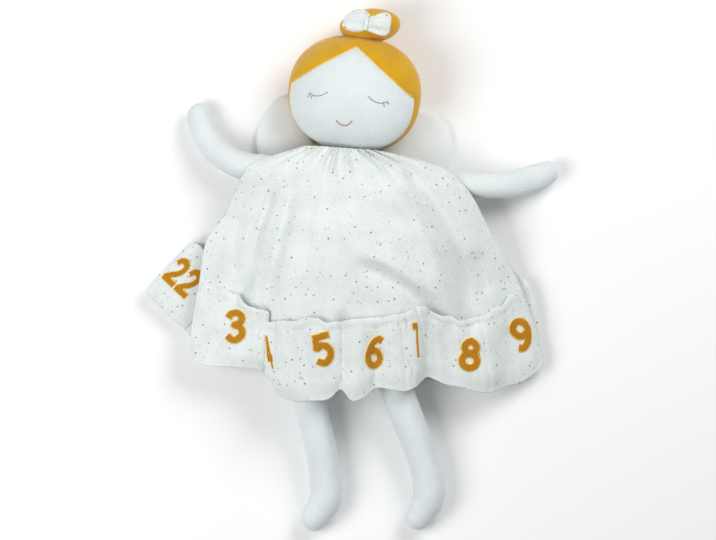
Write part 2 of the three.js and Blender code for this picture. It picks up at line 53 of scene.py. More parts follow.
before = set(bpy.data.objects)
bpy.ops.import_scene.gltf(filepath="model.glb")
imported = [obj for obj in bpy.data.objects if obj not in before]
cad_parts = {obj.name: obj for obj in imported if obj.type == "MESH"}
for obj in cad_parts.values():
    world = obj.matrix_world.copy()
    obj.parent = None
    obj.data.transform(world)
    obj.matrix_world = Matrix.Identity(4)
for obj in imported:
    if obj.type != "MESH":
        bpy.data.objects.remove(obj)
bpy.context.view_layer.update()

# Lengths are in millimetres and are turned to metres where a mesh gets its place.
MM = 0.001
SHIFT = Vector((-3.3, -1.3, 0.0))
PHOTO_CENTRE = (7.44, 0.0)
MID_LEVEL = 40.0

# Stage, in metres and watts
FLOOR_HALF = 3.0
FLOOR_LEVEL = -0.0005
FLOOR_COLOUR = (0.98, 0.98, 0.98, 1)
SKY_COLOUR = (0.97, 0.99, 1.0, 1)
SKY_STRENGTH = 0.3
LIGHT_SIZE = 0.8
LIGHTS = {"key_light": ((0.75, 0.85, 1.1), 13.0), "side_light": ((-0.85, -0.2, 1.1), 11.0)}
CAMERA_HEIGHT = 6.0
CAMERA_SENSOR = 36.0
CAMERA_LENS = 322.2

# Head
HEAD_CENTRE = (4.2, 163.7, 42.5)
HEAD_HALF = (62.0, 54.0, 42.0)
HEAD_TILT = math.radians(-8)
HEAD_TURN = math.radians(-7)
HEAD_CLOTH = 1.4
HEAD_FILL = 0.94
HAIR_APEX = (-1.0, 44.4)
HAIR_LEFT = (-62.0, 0.0)
HAIR_RIGHT = (62.0, 0.4)
HEAD_CURVE = 2.25
PANEL_SEAM = 11.0
PANEL_LEAN = (0.03, 0.2)
SEAM_DEPTH = 1.6
HAIR_SEAM_DEPTH = 0.3
SEAM_REACH = 4.0
HAIR_LAP = 1.5
HAIR_UNDER = 0.3
HAIR_TUCK = 0.5
HAIRLINE_CORD = 1.5
HAIRLINE_STEPS = 60
BUN_AT = (5.3, 64.8, -2.0)
BUN_HALF = (28.5, 16.0, 21.0)
BUN_TURN = math.radians(12)
BUN_BASE = 50.0
BUN_PUCKERS = 14
BUN_PUCKER = 0.035
BOW_AT = (4.4, 65.0, 19.0)
BOW_REACH = 22.5
# Height of each loop from the knot to its end
BOW_TALL = {-1: (19.0, 21.5, 21.5, 17.5, 11.0), 1: (12.0, 15.0, 19.0, 22.5, 24.0)}
# How far the middle of each loop lies above the knot, from the knot to its end
BOW_MIDDLE = {-1: (3.0, 2.6, 1.8, 0.4, -1.4), 1: (0.0, 0.7, 1.5, 2.2, 2.6)}
BOW_SQUARE = 0.58
BOW_LAP = 2.0
BOW_CREASE = 3.2
BOW_CREASE_REACH = 1.8
BOW_THICK = 9.0
# Share of its thickness that a loop keeps at both ends
BOW_FLAT = 0.35
# Depth and closeness of the pleats at the knot and of the waves at the open end
BOW_PLEAT = (1.7, 7.0)
BOW_RIPPLE = (0.8, 5.0)
KNOT_HALF = (1.7, 6.0, 2.4)
KNOT_SQUARE = 0.65
KNOT_PLEAT = (0.07, 9.0)

# Neck and torso
NECK_AT = (1.0, 100.0, 38.0)
NECK_BALL = 20.1
ELASTIC_AT = (-3.7, 101.0)
ELASTIC_WIDTH = 68.0
ELASTIC_DEPTH = 37.4
ELASTIC_CORD = 2.6
TORSO_X = -2.0
TORSO_END = -62.0
TORSO_RINGS = (
    (0, 44, 40), (14, 50, 48), (45, 52, 54), (85, 47, 53), (122, 43, 49), (141, 43, 45), (149, 39, 43),
    (152.2, 28, 40),
)

# Limbs: points of the middle line with the radius at each
LIMBS = {
    "arm_left": (
        (-51.8, 91, 30, 12.6), (-78, 95, 30, 12.6), (-97, 96.5, 29.6, 12.8), (-117, 105.5, 24, 12.4),
        (-131, 119.5, 16, 12.6), (-139, 136, 13, 12.2), (-140.5, 144.5, 12, 11.4),
    ),
    "arm_right": (
        (51, 84, 30, 12.6), (85, 81, 30, 12.6), (116, 79, 29, 12), (150, 80, 22, 12.8),
        (174, 86.5, 14, 12.6), (184, 91, 12, 10.8),
    ),
    "leg_left": (
        (-41, -78, 30, 15.4), (-37, -121, 27.6, 15.4), (-26, -172, 21, 14.6), (-22.3, -200, 16.5, 15.2),
        (-23, -214, 15.2, 15), (-29, -225, 14, 13.4), (-34, -232, 12.8, 12),
    ),
    "leg_right": (
        (33, -78, 30, 15.4), (47, -121, 27.6, 15.4), (67.4, -174, 21, 14.4), (73.5, -200, 16.5, 15.2),
        (73.3, -213, 15.2, 15), (68, -223.5, 14, 13.4), (63.4, -231, 12.8, 12),
    ),
}
# Share of a limb's mesh in each rounded end, and the height of the filling's lumps
LIMB_CAP = 0.16
LIMB_LUMPS = 0.35
# Creases of the right elbow: where along it, count, depth and the side that they face
CREASES = {"arm_right": ((0.42, 0.66, 7, 0.8, -0.3), (0.42, 0.66, 7, 0.8, math.pi))}

# Wings: each outline from its root, the left one mirrored
WING_ORIGIN = (0.0, 79.0)
WING_TILT = math.radians(-6)
WING_MIDDLE = (55.0, 15.0)
WING_THICK = 13.0
WING_PUFF = 0.8
WING_LUMPS = 0.05
WING_STEPS = 200
WING_LEFT = ((8, -20), (40, -22), (74, -4), (91, 30), (86, 62), (69, 77), (57, 68), (33, 29), (8, 10))
WING_RIGHT = (
    (8, -20), (40, -22), (74, -4), (91, 30), (89, 55), (78, 70), (62, 76), (48, 72), (24, 36), (8, 12),
)

# Dress: stations from the neck to the hem
CLOTH = 1.6
BACK_LEVEL = 9.5
BACK_RISE = 5.0
HEM_Y = -122.0
NECKLINE_Y = 112.0
SLOPE = BACK_RISE / (NECKLINE_Y - HEM_Y)
# Room between layers that lie on each other
LAYER_GAP = 0.3
# Share of the front's length at which it starts to take the hem's line
HEM_START = 0.72
# How the front bulges from its sides to its middle
DOME_CURVE = 2.2
DOME_LIFT = 2.5
DOME_DROP = (0.85, 0.45)
SLUMP = 1.6
# How soon folds reach full depth from the sides
SIDE_FADE = 4
# Offsets over which the hem's line is softened
HEM_SOFTEN = (-4, -2, 0, 2, 4)
EDGE_LEFT = (
    (-42, 115.5), (-76.3, 105.1), (-93, 98.6), (-102.3, 83.7), (-115.3, 53.9), (-133.6, 27.9), (-141, -14),
    (-148, -55.8), (-148.6, -81.8),
)
EDGE_RIGHT = (
    (34, 109.5), (74.4, 99.5), (94.9, 89.3), (113.5, 68.8), (129.3, 39.1), (150.7, 1.9), (165.5, -30.7),
    (176.7, -65.1), (181.4, -89.3),
)
MIDDLE_Y = (113, 98, 81.8, 59.5, 27.9, -4.7, -44.6, -85.6, -117.2)
MIDDLE_Z = (64.5, 66, 68, 73, 78, 76, 69, 61, 58)
LIFT_LEFT = (35, 30, 28.5, 27.5, 22, 18.4, 18.4, 18.4, 18.4)
LIFT_RIGHT = (43, 33, 28.5, 27.5, 22, 7, 1.6, 0.6, 0.4)
HEM_LINE = (
    (-149, -82.8), (-134, -89.3), (-86, -91.1), (-74.4, -99.5), (-69.8, -115.3), (-53, -121.8),
    (-21.4, -120.9), (-7.4, -108.8), (0.9, -122.8), (12.1, -119), (23.3, -108.8), (52, -112.5), (65.1, -107),
    (67.9, -98.6), (95.8, -107.9), (126.5, -114.4), (156.2, -106), (177.6, -94.9), (183.2, -80.9),
)
MOUTH_LINE = (
    (-140, -12), (-120, -17), (-102.3, -24.2), (-89.3, -33.5), (-80, -38.1), (-74.4, -47.4), (-53.9, -46.5),
    (-38.1, -41.9), (-29.8, -42.8), (-21.4, -47.4), (-11.2, -44.6), (8.4, -43.7), (29.8, -41.9),
    (46.5, -39.1), (59.5, -34.4), (68.8, -33.5), (90.2, -40), (99.5, -46.5), (118, -43.7), (135.8, -34.4),
    (147, -22.3), (170, -12),
)
# Share of the length in which the mouths are looked for, and how often that is halved
MOUTH_SEARCH = (0.55, 0.95)
HALVINGS = 18
# Step for the slope of the front
NEAR = 0.004
# Each fold: points of its line, depth (a ridge is negative) and reach to either side
FOLDS = (
    (((30, 92), (52, 62), (74, 28), (88, -12), (98, -56)), -6.5, 12.0),
    (((46, 90), (68, 62), (90, 26), (104, -12), (112, -50)), 8.5, 9.0),
    (((2, 20), (30, 8), (60, -10), (86, -30)), -4.0, 8.0),
    (((0, 8), (30, -4), (58, -22), (76, -40)), 5.5, 8.0),
    (((-66, 88), (-84, 40), (-96, -10), (-104, -30)), 7.5, 7.0),
    (((-48, 92), (-62, 40), (-74, -10), (-80, -34)), 7.0, 8.0),
    (((-26, 92), (-38, 50), (-44, 14)), 3.0, 6.0),
    (((-60, -44), (-55, -80), (-52, -116)), -3.0, 6.0),
    (((-44, -40), (-42, -80), (-40, -118)), 2.8, 9.0),
    (((-31, -44), (-29, -76), (-27, -100)), -2.2, 7.0),
    (((-8, -34), (-7, -70), (-7, -126)), 6.5, 7.0),
    (((8, -44), (6, -80), (4, -118)), -2.0, 6.0),
    (((24, -44), (24, -80), (23, -118)), 4.2, 6.0),
    (((36, -42), (40, -76), (42, -110)), -2.0, 6.0),
    (((86, -44), (92, -76), (96, -108)), 2.5, 8.0),
    (((141, -46), (146, -76), (150, -104)), 4.0, 9.0),
    (((48.4, -40), (52, -70), (57.7, -108)), 1.3, 1.8),
    (((118, 20), (128, -30)), 4.5, 8.0),
    (((116, -48), (127, -78), (134, -112)), -5.0, 8.0),
    (((-98, 66), (-107, 30), (-107, -10), (-101, -32)), 6.0, 7.0),
)
# A fold's width at its start, and what it gains to its end, as shares of its reach
FOLD_WIDTH = (0.85, 0.3)
# Each edge of a panel over the next: x of its high side, its low side and the next level part, and the drop
STEPS = ((-84.0, -79.0, -52.0, 6.0), (58.0, 70.0, 126.0, 6.5))
NECK_GATHERS = 11
NECK_GATHER_REACH = 0.45
NECK_GATHER_WANDER = 3.2
# The neckline's turned edge: its share of the length, how far it goes back and down
TURN_IN = (0.03, 3.5, 7.5)
NECK_GATHER_DEPTH = 2.8

# Pockets: number, place of both ends on the hem (x), and the number's place, turn and width share
FRONT_POCKETS = (
    (3, -146, -84, -107, -52.5, -3, 1.0),
    (4, -84, -66, -75.6, -76.5, 11, 0.24),
    (5, -66, -7, -25.6, -74, 12, 1.0),
    (6, -7, 52, 23.2, -76.3, -9, 0.84),
    (7, 52, 68, 62.3, -64.6, 8, 0.26),
    (8, 68, 130, 111.6, -78.6, -5, 1.0),
    (9, 130, 180.5, 159.5, -60, 17, 1.0),
)
NUMBER_HEIGHT = 32.0
NARROW_NUMBER = 14.5
TUCK_NUMBER = 24.0
# Width share of the hidden numbers, and how far up their pocket they sit
HIDDEN_STRETCH = 0.95
NUMBER_UP = 0.47
POCKET_CLOTH = 0.9
PANEL_CLOTH = 0.8
# How far the mouths of the side, tucked and back pockets stand open
SIDE_ROOM = 5.2
TUCK_ROOM = 4.6
BACK_ROOM = 9.0
# How far a back pocket may hang at the hem before it meets the floor
BACK_CLEAR = 7.4
# How far from the outer sides of the first and the last front pocket their cloth stands off in full
FULL_FIRST = (20, 50)
FULL_LAST = 9
# Height and closeness of the mouths' ruffles and of the small ripples all over
RUFFLE = (1.8, 0.07)
RIPPLE = (0.7, 0.17)
# More cloth than its width in a wide front pocket, and in one under this width, which is folded
WIDE_SLACK = 1.12
FOLDED_SLACK = 1.5
FOLDED_WIDTH = 30
# How far a front pocket laps over the next, and its flat height
POCKET_LAP = 1.6
POCKET_TALL = 72
# Hem of a pocket's mouth and the line of stitching below it: middle and reach up the pocket, and height
MOUTH_HEM = (0.955, 0.045, 0.5)
MOUTH_STITCH = (0.9, 0.012, -0.45)
SIDE_NUMBER = (-155.2, -6.3, 29.5, 0.75)
SIDE_TURN = math.radians(-43.6)
SIDE_AT = (-169.2, 5.4)
SIDE_ROUND = 9.0
SIDE_LENGTH = 104.0
SIDE_HEIGHT = 69.0
SIDE_POCKETS = ((22, 1, 52, 67), (23, 54, 24, 60), (24, 79, 24, 60))
TUCK_DEPTH = 6.8
TUCK_CLOTH = 1.2
FOLD_AT = (-111.0, -48.0)
FOLD_SIZE = (58.0, 62.0)
TUCK_POCKETS = ((2, -125.5, 27), (1, -96.5, 27))
BACK_LEFT = (
    (-40.9, 112.5), (-74, 104), (-89, 97), (-98, 83), (-112, 53.9), (-140, 24), (-172, -20),
    (-150, -52), (-138, -78),
)
BACK_RIGHT = (
    (33.5, 110.7), (74.4, 99.5), (94.9, 89.3), (113.5, 68.8), (129.3, 39.1), (152, 2), (168, -15),
    (176, -50), (181, -82),
)
BACK_HEM = (
    (-145, -80), (-88, -86), (-62, -110), (-20, -112), (45, -106), (75, -95), (125, -108), (176, -90),
)
BACK_NUMBERS = range(10, 22)

# Middle lines of the digits' strokes, in a digit one unit tall; each end is square, flat or round (s, f, r)
DIGITS = {
    "0": (("rr", (0, 0.392), (-0.16, 0.3), (-0.215, 0), (-0.16, -0.3), (0, -0.392), (0.16, -0.3), (0.215, 0),
           (0.16, 0.3), (0, 0.392)),),
    "1": (("fr", (-0.15, 0.25), (0, 0.37)), ("ss", (0.05, 0.392), (0.05, -0.392))),
    "2": (("fr", (-0.215, 0.19), (-0.15, 0.33), (0, 0.392), (0.16, 0.32), (0.2, 0.17), (0.11, -0.03),
           (-0.07, -0.21), (-0.215, -0.36)), ("ss", (-0.2, -0.392), (0.215, -0.392))),
    "3": (("fr", (-0.21, 0.23), (-0.12, 0.36), (0.05, 0.392), (0.18, 0.29), (0.15, 0.13), (-0.02, 0.04)),
          ("rf", (-0.02, 0.04), (0.16, -0.03), (0.22, -0.19), (0.12, -0.35), (-0.06, -0.392),
           (-0.215, -0.27))),
    "4": (("rr", (0.03, 0.36), (-0.2, -0.12)), ("ss", (-0.2, -0.17), (0.2, -0.17)),
          ("ss", (0.09, 0.392), (0.09, -0.392))),
    "5": (("ss", (0.17, 0.392), (-0.12, 0.37)), ("sf", (-0.13, 0.36), (-0.17, 0)),
          ("rf", (-0.15, 0.06), (0.02, 0.12), (0.17, 0.03), (0.215, -0.14), (0.12, -0.33), (-0.05, -0.392),
           (-0.215, -0.29))),
    "6": (("fr", (0.19, 0.35), (0.07, 0.392), (-0.07, 0.3), (-0.17, 0.12), (-0.21, -0.1), (-0.18, -0.27),
           (-0.07, -0.38), (0.07, -0.38), (0.18, -0.28), (0.2, -0.13), (0.1, 0.01), (-0.04, 0.05),
           (-0.16, -0.02)),),
    "7": (("ss", (-0.2, 0.392), (0.19, 0.392)),
          ("rf", (0.19, 0.38), (0.06, 0.08), (-0.03, -0.2), (-0.09, -0.5))),
    "8": (("rr", (0, 0.04), (-0.14, 0.11), (-0.17, 0.25), (0, 0.392), (0.17, 0.25), (0.14, 0.11), (0, 0.04),
           (-0.17, -0.05), (-0.22, -0.2), (-0.14, -0.34), (0, -0.392), (0.14, -0.34), (0.22, -0.2),
           (0.17, -0.05), (0, 0.04)),),
}
DIGITS["9"] = tuple((ends, *((-x, -y) for x, y in points)) for ends, *points in DIGITS["6"])
DIGIT_STROKE = 0.118
DIGIT_PITCH = 0.7
# Cells up the height of a narrow number and of the others
DIGIT_CELLS = (28, 44)
# Steps between two points of a curved stroke, and step for the slope at its edge
STROKE_STEPS = 4
DIGIT_NEAR = 0.002
# Room for a number's strokes, width of its painted edge highlight and of its rounded rim, in digit heights
DIGIT_ROOM = 1.06
DIGIT_HIGHLIGHT = 0.028
DIGIT_RIM = 0.06
# How thick the felt is at its rim, and how far its side goes into the pocket (mm)
FELT_RIM = 0.45
FELT_SUNK = 0.4

# Face stitching: points on the face, as seen from the front
EYE_LEFT = ((-38.1, 165.5), (-35.5, 163.2), (-31.6, 161.9), (-26.5, 162.6), (-20.5, 165.5))
EYE_RIGHT = ((16.7, 161.8), (20.5, 158.2), (25, 155.8), (29.5, 155.2), (35.3, 156.7))
LASHES_LEFT = (((-36.8, 164), (-39.2, 161)), ((-35.2, 162.9), (-36, 159.6)))
LASHES_RIGHT = (((33.9, 156.3), (36.2, 154.2)), ((31, 155.4), (32, 151.9)))
MOUTH = ((-13, 139.5), (-9.6, 136), (-5.6, 134.4), (-1.6, 135.2), (1.9, 138.6))


def dye(name, says, code):
    """A colour of the doll as sRGB hex, for the sidebar."""
    return StringProperty(name=name, description=says, default=code)


class DollColours(bpy.types.PropertyGroup):
    cotton: dye("Cotton", "Skin cotton, as sRGB hex", "E6ECEC")
    cotton_shade: dye("Cotton shade", "Darker threads of the cotton", "DCE4E5")
    linen: dye("Linen", "Dress linen, as sRGB hex", "EAEFED")
    linen_shade: dye("Linen shade", "Darker threads of the linen", "D9E0DC")
    wing: dye("Wing linen", "Linen of the wings, as sRGB hex", "F0F3F5")
    speck: dye("Speck", "Gold specks in the linen", "BC9C4C")
    speck_dark: dye("Dark speck", "Brown specks in the linen", "767158")
    velvet: dye("Velvet", "Hair velvet, as sRGB hex", "DCA816")
    velvet_shade: dye("Velvet shade", "Velvet seen into the pile", "CE9A12")
    seam: dye("Hair seam", "Light edge along the hairline", "F1D272")
    felt: dye("Felt", "Felt of the numbers", "C28416")
    felt_shade: dye("Felt shade", "Darker fibres of the felt", "AE7412")
    # Painted highlight along the raised edge of the numbers
    felt_edge: dye("Felt edge", "Painted highlight along the edge of the numbers", "F0BE58")
    eye: dye("Eye thread", "Thread of the eyes", "8A969C")
    mouth: dye("Mouth thread", "Thread of the mouth", "B4606E")
    fibre: dye("Fibre", "Filling fibre", "F2F2EE")


class DollSizes(bpy.types.PropertyGroup):
    thread: FloatProperty(name="Thread", description="Thickness of face thread (mm)", default=0.8, min=0.3)
    felt: FloatProperty(name="Felt", description="Thickness of the felt numbers (mm)", default=1.3, min=0.3)
    cloth: FloatProperty(name="Cloth", description="Thickness of the dress cloth (mm)", default=1.1, min=0.2)
    pocket_room: FloatProperty(name="Pocket room", description="Opening of pocket mouths (mm)", default=7.0)
    detail: IntProperty(name="Detail", description="Grid cells across the dress", default=260, min=40)


def place(x, y, z):
    """A point of the doll in millimetres as a point of the frame in metres."""
    return (Vector((x, y, z)) + SHIFT) * MM


def spline(points, t):
    """A smooth curve through values or vectors, at t from 0 to 1."""
    last = len(points) - 1
    at = t * last
    i = min(int(at), last)
    w = at - i
    p0, p1 = points[max(i - 1, 0)], points[i]
    p2, p3 = points[min(i + 1, last)], points[min(i + 2, last)]
    v0, v1 = (p2 - p0) * 0.5, (p3 - p1) * 0.5
    return (p1 * 2 - p2 * 2 + v0 + v1) * w**3 + (p2 * 3 - p1 * 3 - v0 * 2 - v1) * w**2 + v0 * w + p1


def vectors(points):
    return [Vector(p) for p in points]


def clamp(x, low=0.0, high=1.0):
    return min(high, max(low, x))


def smooth(x, low, high):
    """0 below low, 1 above high, and a soft step between."""
    t = clamp((x - low) / (high - low))
    return t * t * (3 - 2 * t)


def height_on(line, x):
    """Height of a line of points at x, with soft corners."""
    if x <= line[0][0]:
        return line[0][1]
    for (ax, ay), (bx, by) in zip(line, line[1:]):
        if x <= bx:
            return ay + (by - ay) * smooth(x, ax, bx)
    return line[-1][1]


def distance_to(line, x, y):
    """Distance from a point to a line of points, and the share of the line's length there."""
    best, share = 1e9, 0.0
    spans = len(line) - 1
    for i in range(spans):
        ax, ay = line[i]
        dx, dy = line[i + 1][0] - ax, line[i + 1][1] - ay
        t = clamp(((x - ax) * dx + (y - ay) * dy) / (dx * dx + dy * dy))
        gap = math.hypot(x - ax - t * dx, y - ay - t * dy)
        if gap < best:
            best, share = gap, (i + t) / spans
    return best, share


def linear(code):
    """An sRGB hex colour as a linear colour with full alpha."""
    parts = [int(code[i:i + 2], 16) / 255 for i in (0, 2, 4)]
    return [c / 12.92 if c <= 0.04045 else ((c + 0.055) / 1.055) ** 2.4 for c in parts] + [1.0]


def add_node(tree, kind, inputs, **attributes):
    """Adds a node, sets its attributes, and sets its inputs or links them to sockets."""
    node = tree.nodes.new(kind)
    for name, value in attributes.items():
        setattr(node, name, value)
    for key, value in inputs.items():
        if isinstance(value, bpy.types.NodeSocket):
            tree.links.new(value, node.inputs[key])
        else:
            node.inputs[key].default_value = value
    return node


# Each cloth: colour, shade, thread pitch and depth (mm), roughness, sheen, and how it is made
CLOTHS = {
    # Plain woven cotton jersey: matt, fine threads, nearly even colour
    "skin_cotton": ("cotton", "cotton_shade", 1.3, 0.25, 0.9, 0.15, "woven"),
    # Plain woven linen printed with small gold specks: matt, slubby threads
    "speckled_linen": ("linen", "linen_shade", 1.5, 0.22, 0.9, 0.15, "printed"),
    # The same linen without specks, for the wings
    "wing_linen": ("wing", "linen", 1.1, 0.15, 0.9, 0.15, "woven"),
    # Short cut velvet: soft pile that shades with its lie, and a light sheen
    "hair_velvet": ("velvet", "velvet_shade", 1.6, 0.4, 0.95, 0.35, "pile"),
    # Turned edge of the velvet along the hairline, where the backing shows through
    "hairline_edge": ("seam", "velvet", 1.6, 0.3, 0.95, 0.2, "pile"),
    # Pressed wool felt: matt, with loose fibres
    "number_felt": ("felt", "felt_shade", 1.1, 0.4, 0.95, 0.2, "pile"),
    # Lighter rim round each number: a painted highlight along its raised edge
    "number_edge_highlight": ("felt_edge", "seam", 0.9, 0.3, 0.8, 0.1, "pile"),
    # Spun cotton thread of the face: fine, less matt than the cloth
    "eye_thread": ("eye", "eye", 0.8, 0.2, 0.7, 0.1, "pile"),
    "mouth_thread": ("mouth", "mouth", 0.8, 0.2, 0.7, 0.1, "pile"),
    # Loose polyester filling and covered elastic: white, very matt
    "filling_fibre": ("fibre", "cotton_shade", 3.0, 0.8, 0.95, 0.3, "pile"),
}
# Width of one band of the wave texture at scale 1
WAVE_BAND = 0.314
# Size of the dye's uneven patches (mm)
MOTTLE = 22
# Spacing of the specks (mm), which are drawn about 1.6 mm across, a little over life size, so that they show
SPECK_SPREAD = 5.6
BUMP_STRENGTH = 0.35


def cloth(name):
    """The material of a cloth: woven threads or a pile, uneven dye, and specks where it is printed."""
    known = bpy.data.materials.get(name)
    if known:
        return known
    base, shade, pitch, depth, rough, sheen, made = CLOTHS[name]
    dyes = bpy.context.scene.doll_colours
    material = bpy.data.materials.new(name)
    material.use_nodes = True
    tree = material.node_tree
    where = add_node(tree, "ShaderNodeTexCoord", {}).outputs["Object"]
    flat = add_node(tree, "ShaderNodeMapping", {"Vector": where, "Scale": (1 / MM,) * 3}).outputs["Vector"]
    patches = add_node(tree, "ShaderNodeTexNoise", {"Vector": flat, "Scale": 1 / MOTTLE, "Detail": 3})
    threads = add_node(tree, "ShaderNodeTexNoise", {"Vector": flat, "Scale": 1 / pitch, "Detail": 2})
    height = threads.outputs["Fac"]
    if made != "pile":
        wave = {"Vector": flat, "Scale": WAVE_BAND / pitch}
        wave |= {"Distortion": 1.2, "Detail": 1, "Detail Scale": 2}
        warp = add_node(tree, "ShaderNodeTexWave", wave, bands_direction="X").outputs["Fac"]
        weft = add_node(tree, "ShaderNodeTexWave", wave, bands_direction="Y").outputs["Fac"]
        height = add_node(tree, "ShaderNodeMath", {0: warp, 1: weft}, operation="ADD").outputs[0]
    both = {0: patches.outputs["Fac"], 1: threads.outputs["Fac"]}
    uneven = add_node(tree, "ShaderNodeMath", both, operation="ADD").outputs[0]
    share = add_node(tree, "ShaderNodeMapRange", {"Value": uneven, "From Min": 0.75, "From Max": 1.3})
    dyed = {6: linear(getattr(dyes, base)), 7: linear(getattr(dyes, shade))}
    dyed["Factor"] = share.outputs["Result"]
    colour = add_node(tree, "ShaderNodeMix", dyed, data_type="RGBA").outputs[2]
    if made == "printed":
        cells = add_node(tree, "ShaderNodeTexVoronoi", {"Vector": flat, "Scale": 1 / SPECK_SPREAD})
        edge = {"From Min": 0.11, "From Max": 0.19, "To Min": 1.3, "To Max": 0.0}
        edge["Value"] = cells.outputs["Distance"]
        spot = add_node(tree, "ShaderNodeMapRange", edge).outputs["Result"]
        pick = add_node(tree, "ShaderNodeSeparateColor", {"Color": cells.outputs["Color"]})
        inks = {"Factor": pick.outputs["Red"], 6: linear(dyes.speck), 7: linear(dyes.speck_dark)}
        ink = add_node(tree, "ShaderNodeMix", inks, data_type="RGBA").outputs[2]
        kept = add_node(tree, "ShaderNodeMath", {0: spot, 1: pick.outputs["Green"]}, operation="MULTIPLY")
        print_on = {"Factor": kept.outputs[0], 6: colour, 7: ink}
        colour = add_node(tree, "ShaderNodeMix", print_on, data_type="RGBA").outputs[2]
    relief = {"Height": height, "Strength": BUMP_STRENGTH, "Distance": depth * MM}
    bump = add_node(tree, "ShaderNodeBump", relief).outputs["Normal"]
    shader = tree.nodes["Principled BSDF"]
    tree.links.new(colour, shader.inputs["Base Color"])
    tree.links.new(bump, shader.inputs["Normal"])
    for key, value in {
        "Roughness": rough, "Sheen Weight": sheen, "Sheen Roughness": 0.5, "Specular IOR Level": 0.25,
    }.items():
        shader.inputs[key].default_value = value
    return material


def sizes():
    return bpy.context.scene.doll_sizes


def sew(name, bm, cloths, body, nodes=(), thick=0.0):
    """Makes a piece from a bmesh in metres: smooth faces, its cloths, its body and what it stands for."""
    if not thick:
        bmesh.ops.recalc_face_normals(bm, faces=bm.faces)
    mesh = bpy.data.meshes.new(name)
    bm.to_mesh(mesh)
    bm.free()
    mesh.polygons.foreach_set("use_smooth", [True] * len(mesh.polygons))
    piece = bpy.data.objects.new(name, mesh)
    bpy.context.collection.objects.link(piece)
    for material in cloths:
        mesh.materials.append(cloth(material))
    if thick:
        wall = piece.modifiers.new("Thickness", "SOLIDIFY")
        wall.thickness = thick * MM
        wall.offset = -1.0
        even = piece.modifiers.new("Even shading", "WEIGHTED_NORMAL")
        even.weight = 90
    if body:
        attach(piece, body)
    if nodes:
        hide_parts(*nodes)
    return piece


def ball(detail):
    bm = bmesh.new()
    bmesh.ops.create_icosphere(bm, subdivisions=detail, radius=1.0)
    return bm


def globe(sides, rings):
    bm = bmesh.new()
    bmesh.ops.create_uvsphere(bm, u_segments=sides, v_segments=rings, radius=1.0)
    return bm


def on_globe(point):
    """The share of the way from pole to pole, and the angle round, of a point on a globe."""
    return math.asin(clamp(point.z, -1.0)) / math.pi + 0.5, math.atan2(point.y, point.x)


def boxed(point, power):
    """A point of a ball drawn out towards the corners of a box."""
    return Vector(math.copysign(abs(c) ** power, c) for c in point)


def scaled(point, factors):
    return Vector(a * b for a, b in zip(point, factors))


def grid(columns, rows):
    """A flat sheet whose corners are (0, 0) and (1, 1)."""
    bm = bmesh.new()
    bmesh.ops.create_grid(bm, x_segments=columns, y_segments=rows, size=0.5)
    bmesh.ops.translate(bm, vec=(0.5, 0.5, 0.0), verts=bm.verts)
    return bm


def laid_sheet(columns, rows, where, way=(0, 0, 1)):
    """A sheet whose points a function of (s, t) places, with its faces looking along a direction."""
    bm = grid(columns, rows)
    for v in bm.verts:
        v.co = where(v.co.x, v.co.y)
    face_out(bm, way)
    return bm


def face_out(bm, way):
    """Turns a sheet's faces so that they look along a direction."""
    bm.normal_update()
    total = sum((f.normal * f.calc_area() for f in bm.faces), Vector())
    if total.dot(Vector(way)) < 0:
        bmesh.ops.reverse_faces(bm, faces=bm.faces)
    bm.normal_update()


def stuffed_tube(stations, creases):
    """A ball drawn out along a line of points, with the radius given at each."""
    path = [Vector(s[:3]) for s in stations]
    radii = [s[3] for s in stations]
    bm = globe(40, 72)
    for v in bm.verts:
        share, angle = on_globe(v.co)
        end = clamp(max(LIMB_CAP - share, share + LIMB_CAP - 1) / LIMB_CAP) * math.pi / 2
        along = math.copysign(math.sin(end), share - 0.5)
        t = clamp((share - LIMB_CAP) / (1 - 2 * LIMB_CAP))
        centre = spline(path, t)
        ahead = (spline(path, min(1.0, t + 0.01)) - spline(path, max(0.0, t - 0.01))).normalized()
        side = ahead.cross(Vector((0, 0, 1))).normalized()
        top = side.cross(ahead)
        radius = spline(radii, t)
        point = centre + ahead * along * radius
        point += (side * math.cos(angle) + top * math.sin(angle)) * radius * math.cos(end)
        for start, stop, count, depth, way in creases:
            if start < t < stop:
                part = (t - start) / (stop - start)
                facing = max(0.0, math.cos(angle - way))
                ripple = 0.5 - 0.5 * math.cos(part * count * 2 * math.pi)
                inward = (centre - point).normalized()
                point += inward * depth * math.sin(part * math.pi) * facing * ripple
        point += (point - centre).normalized() * LIMB_LUMPS * noise.noise(point * 0.07)
        v.co = place(*point)
    bmesh.ops.remove_doubles(bm, verts=bm.verts, dist=1e-6)
    return bm


def thread_line(lines, thickness):
    """Round threads through lines of points in metres, as a mesh."""
    curve = bpy.data.curves.new("thread", "CURVE")
    curve.dimensions = "3D"
    curve.bevel_depth = thickness * MM / 2
    curve.bevel_resolution = 3
    curve.use_fill_caps = True
    for line in lines:
        run = curve.splines.new("POLY")
        run.points.add(len(line) - 1)
        for target, point in zip(run.points, line):
            target.co = (*point, 1.0)
    holder = bpy.data.objects.new("thread", curve)
    mesh = bpy.data.meshes.new_from_object(holder)
    bpy.data.objects.remove(holder)
    bm = bmesh.new()
    bm.from_mesh(mesh)
    bpy.data.meshes.remove(mesh)
    return bm


def seen_at(tree, x, y):
    """Where the line of sight through a point of the photo plane meets a surface, and the way back."""
    eye = bpy.context.scene.camera.location
    way = (place(x, y, MID_LEVEL) - eye).normalized()
    hit = tree.ray_cast(eye, way)
    if hit[0] is None:
        raise RuntimeError(f"nothing is seen at {x:.1f}, {y:.1f}")
    return hit[0], -way


HEAD_SPIN = Matrix.Rotation(HEAD_TILT, 4, "Z") @ Matrix.Rotation(HEAD_TURN, 4, "Y")
HEAD_FRAME = Matrix.Translation(Vector(HEAD_CENTRE)) @ HEAD_SPIN


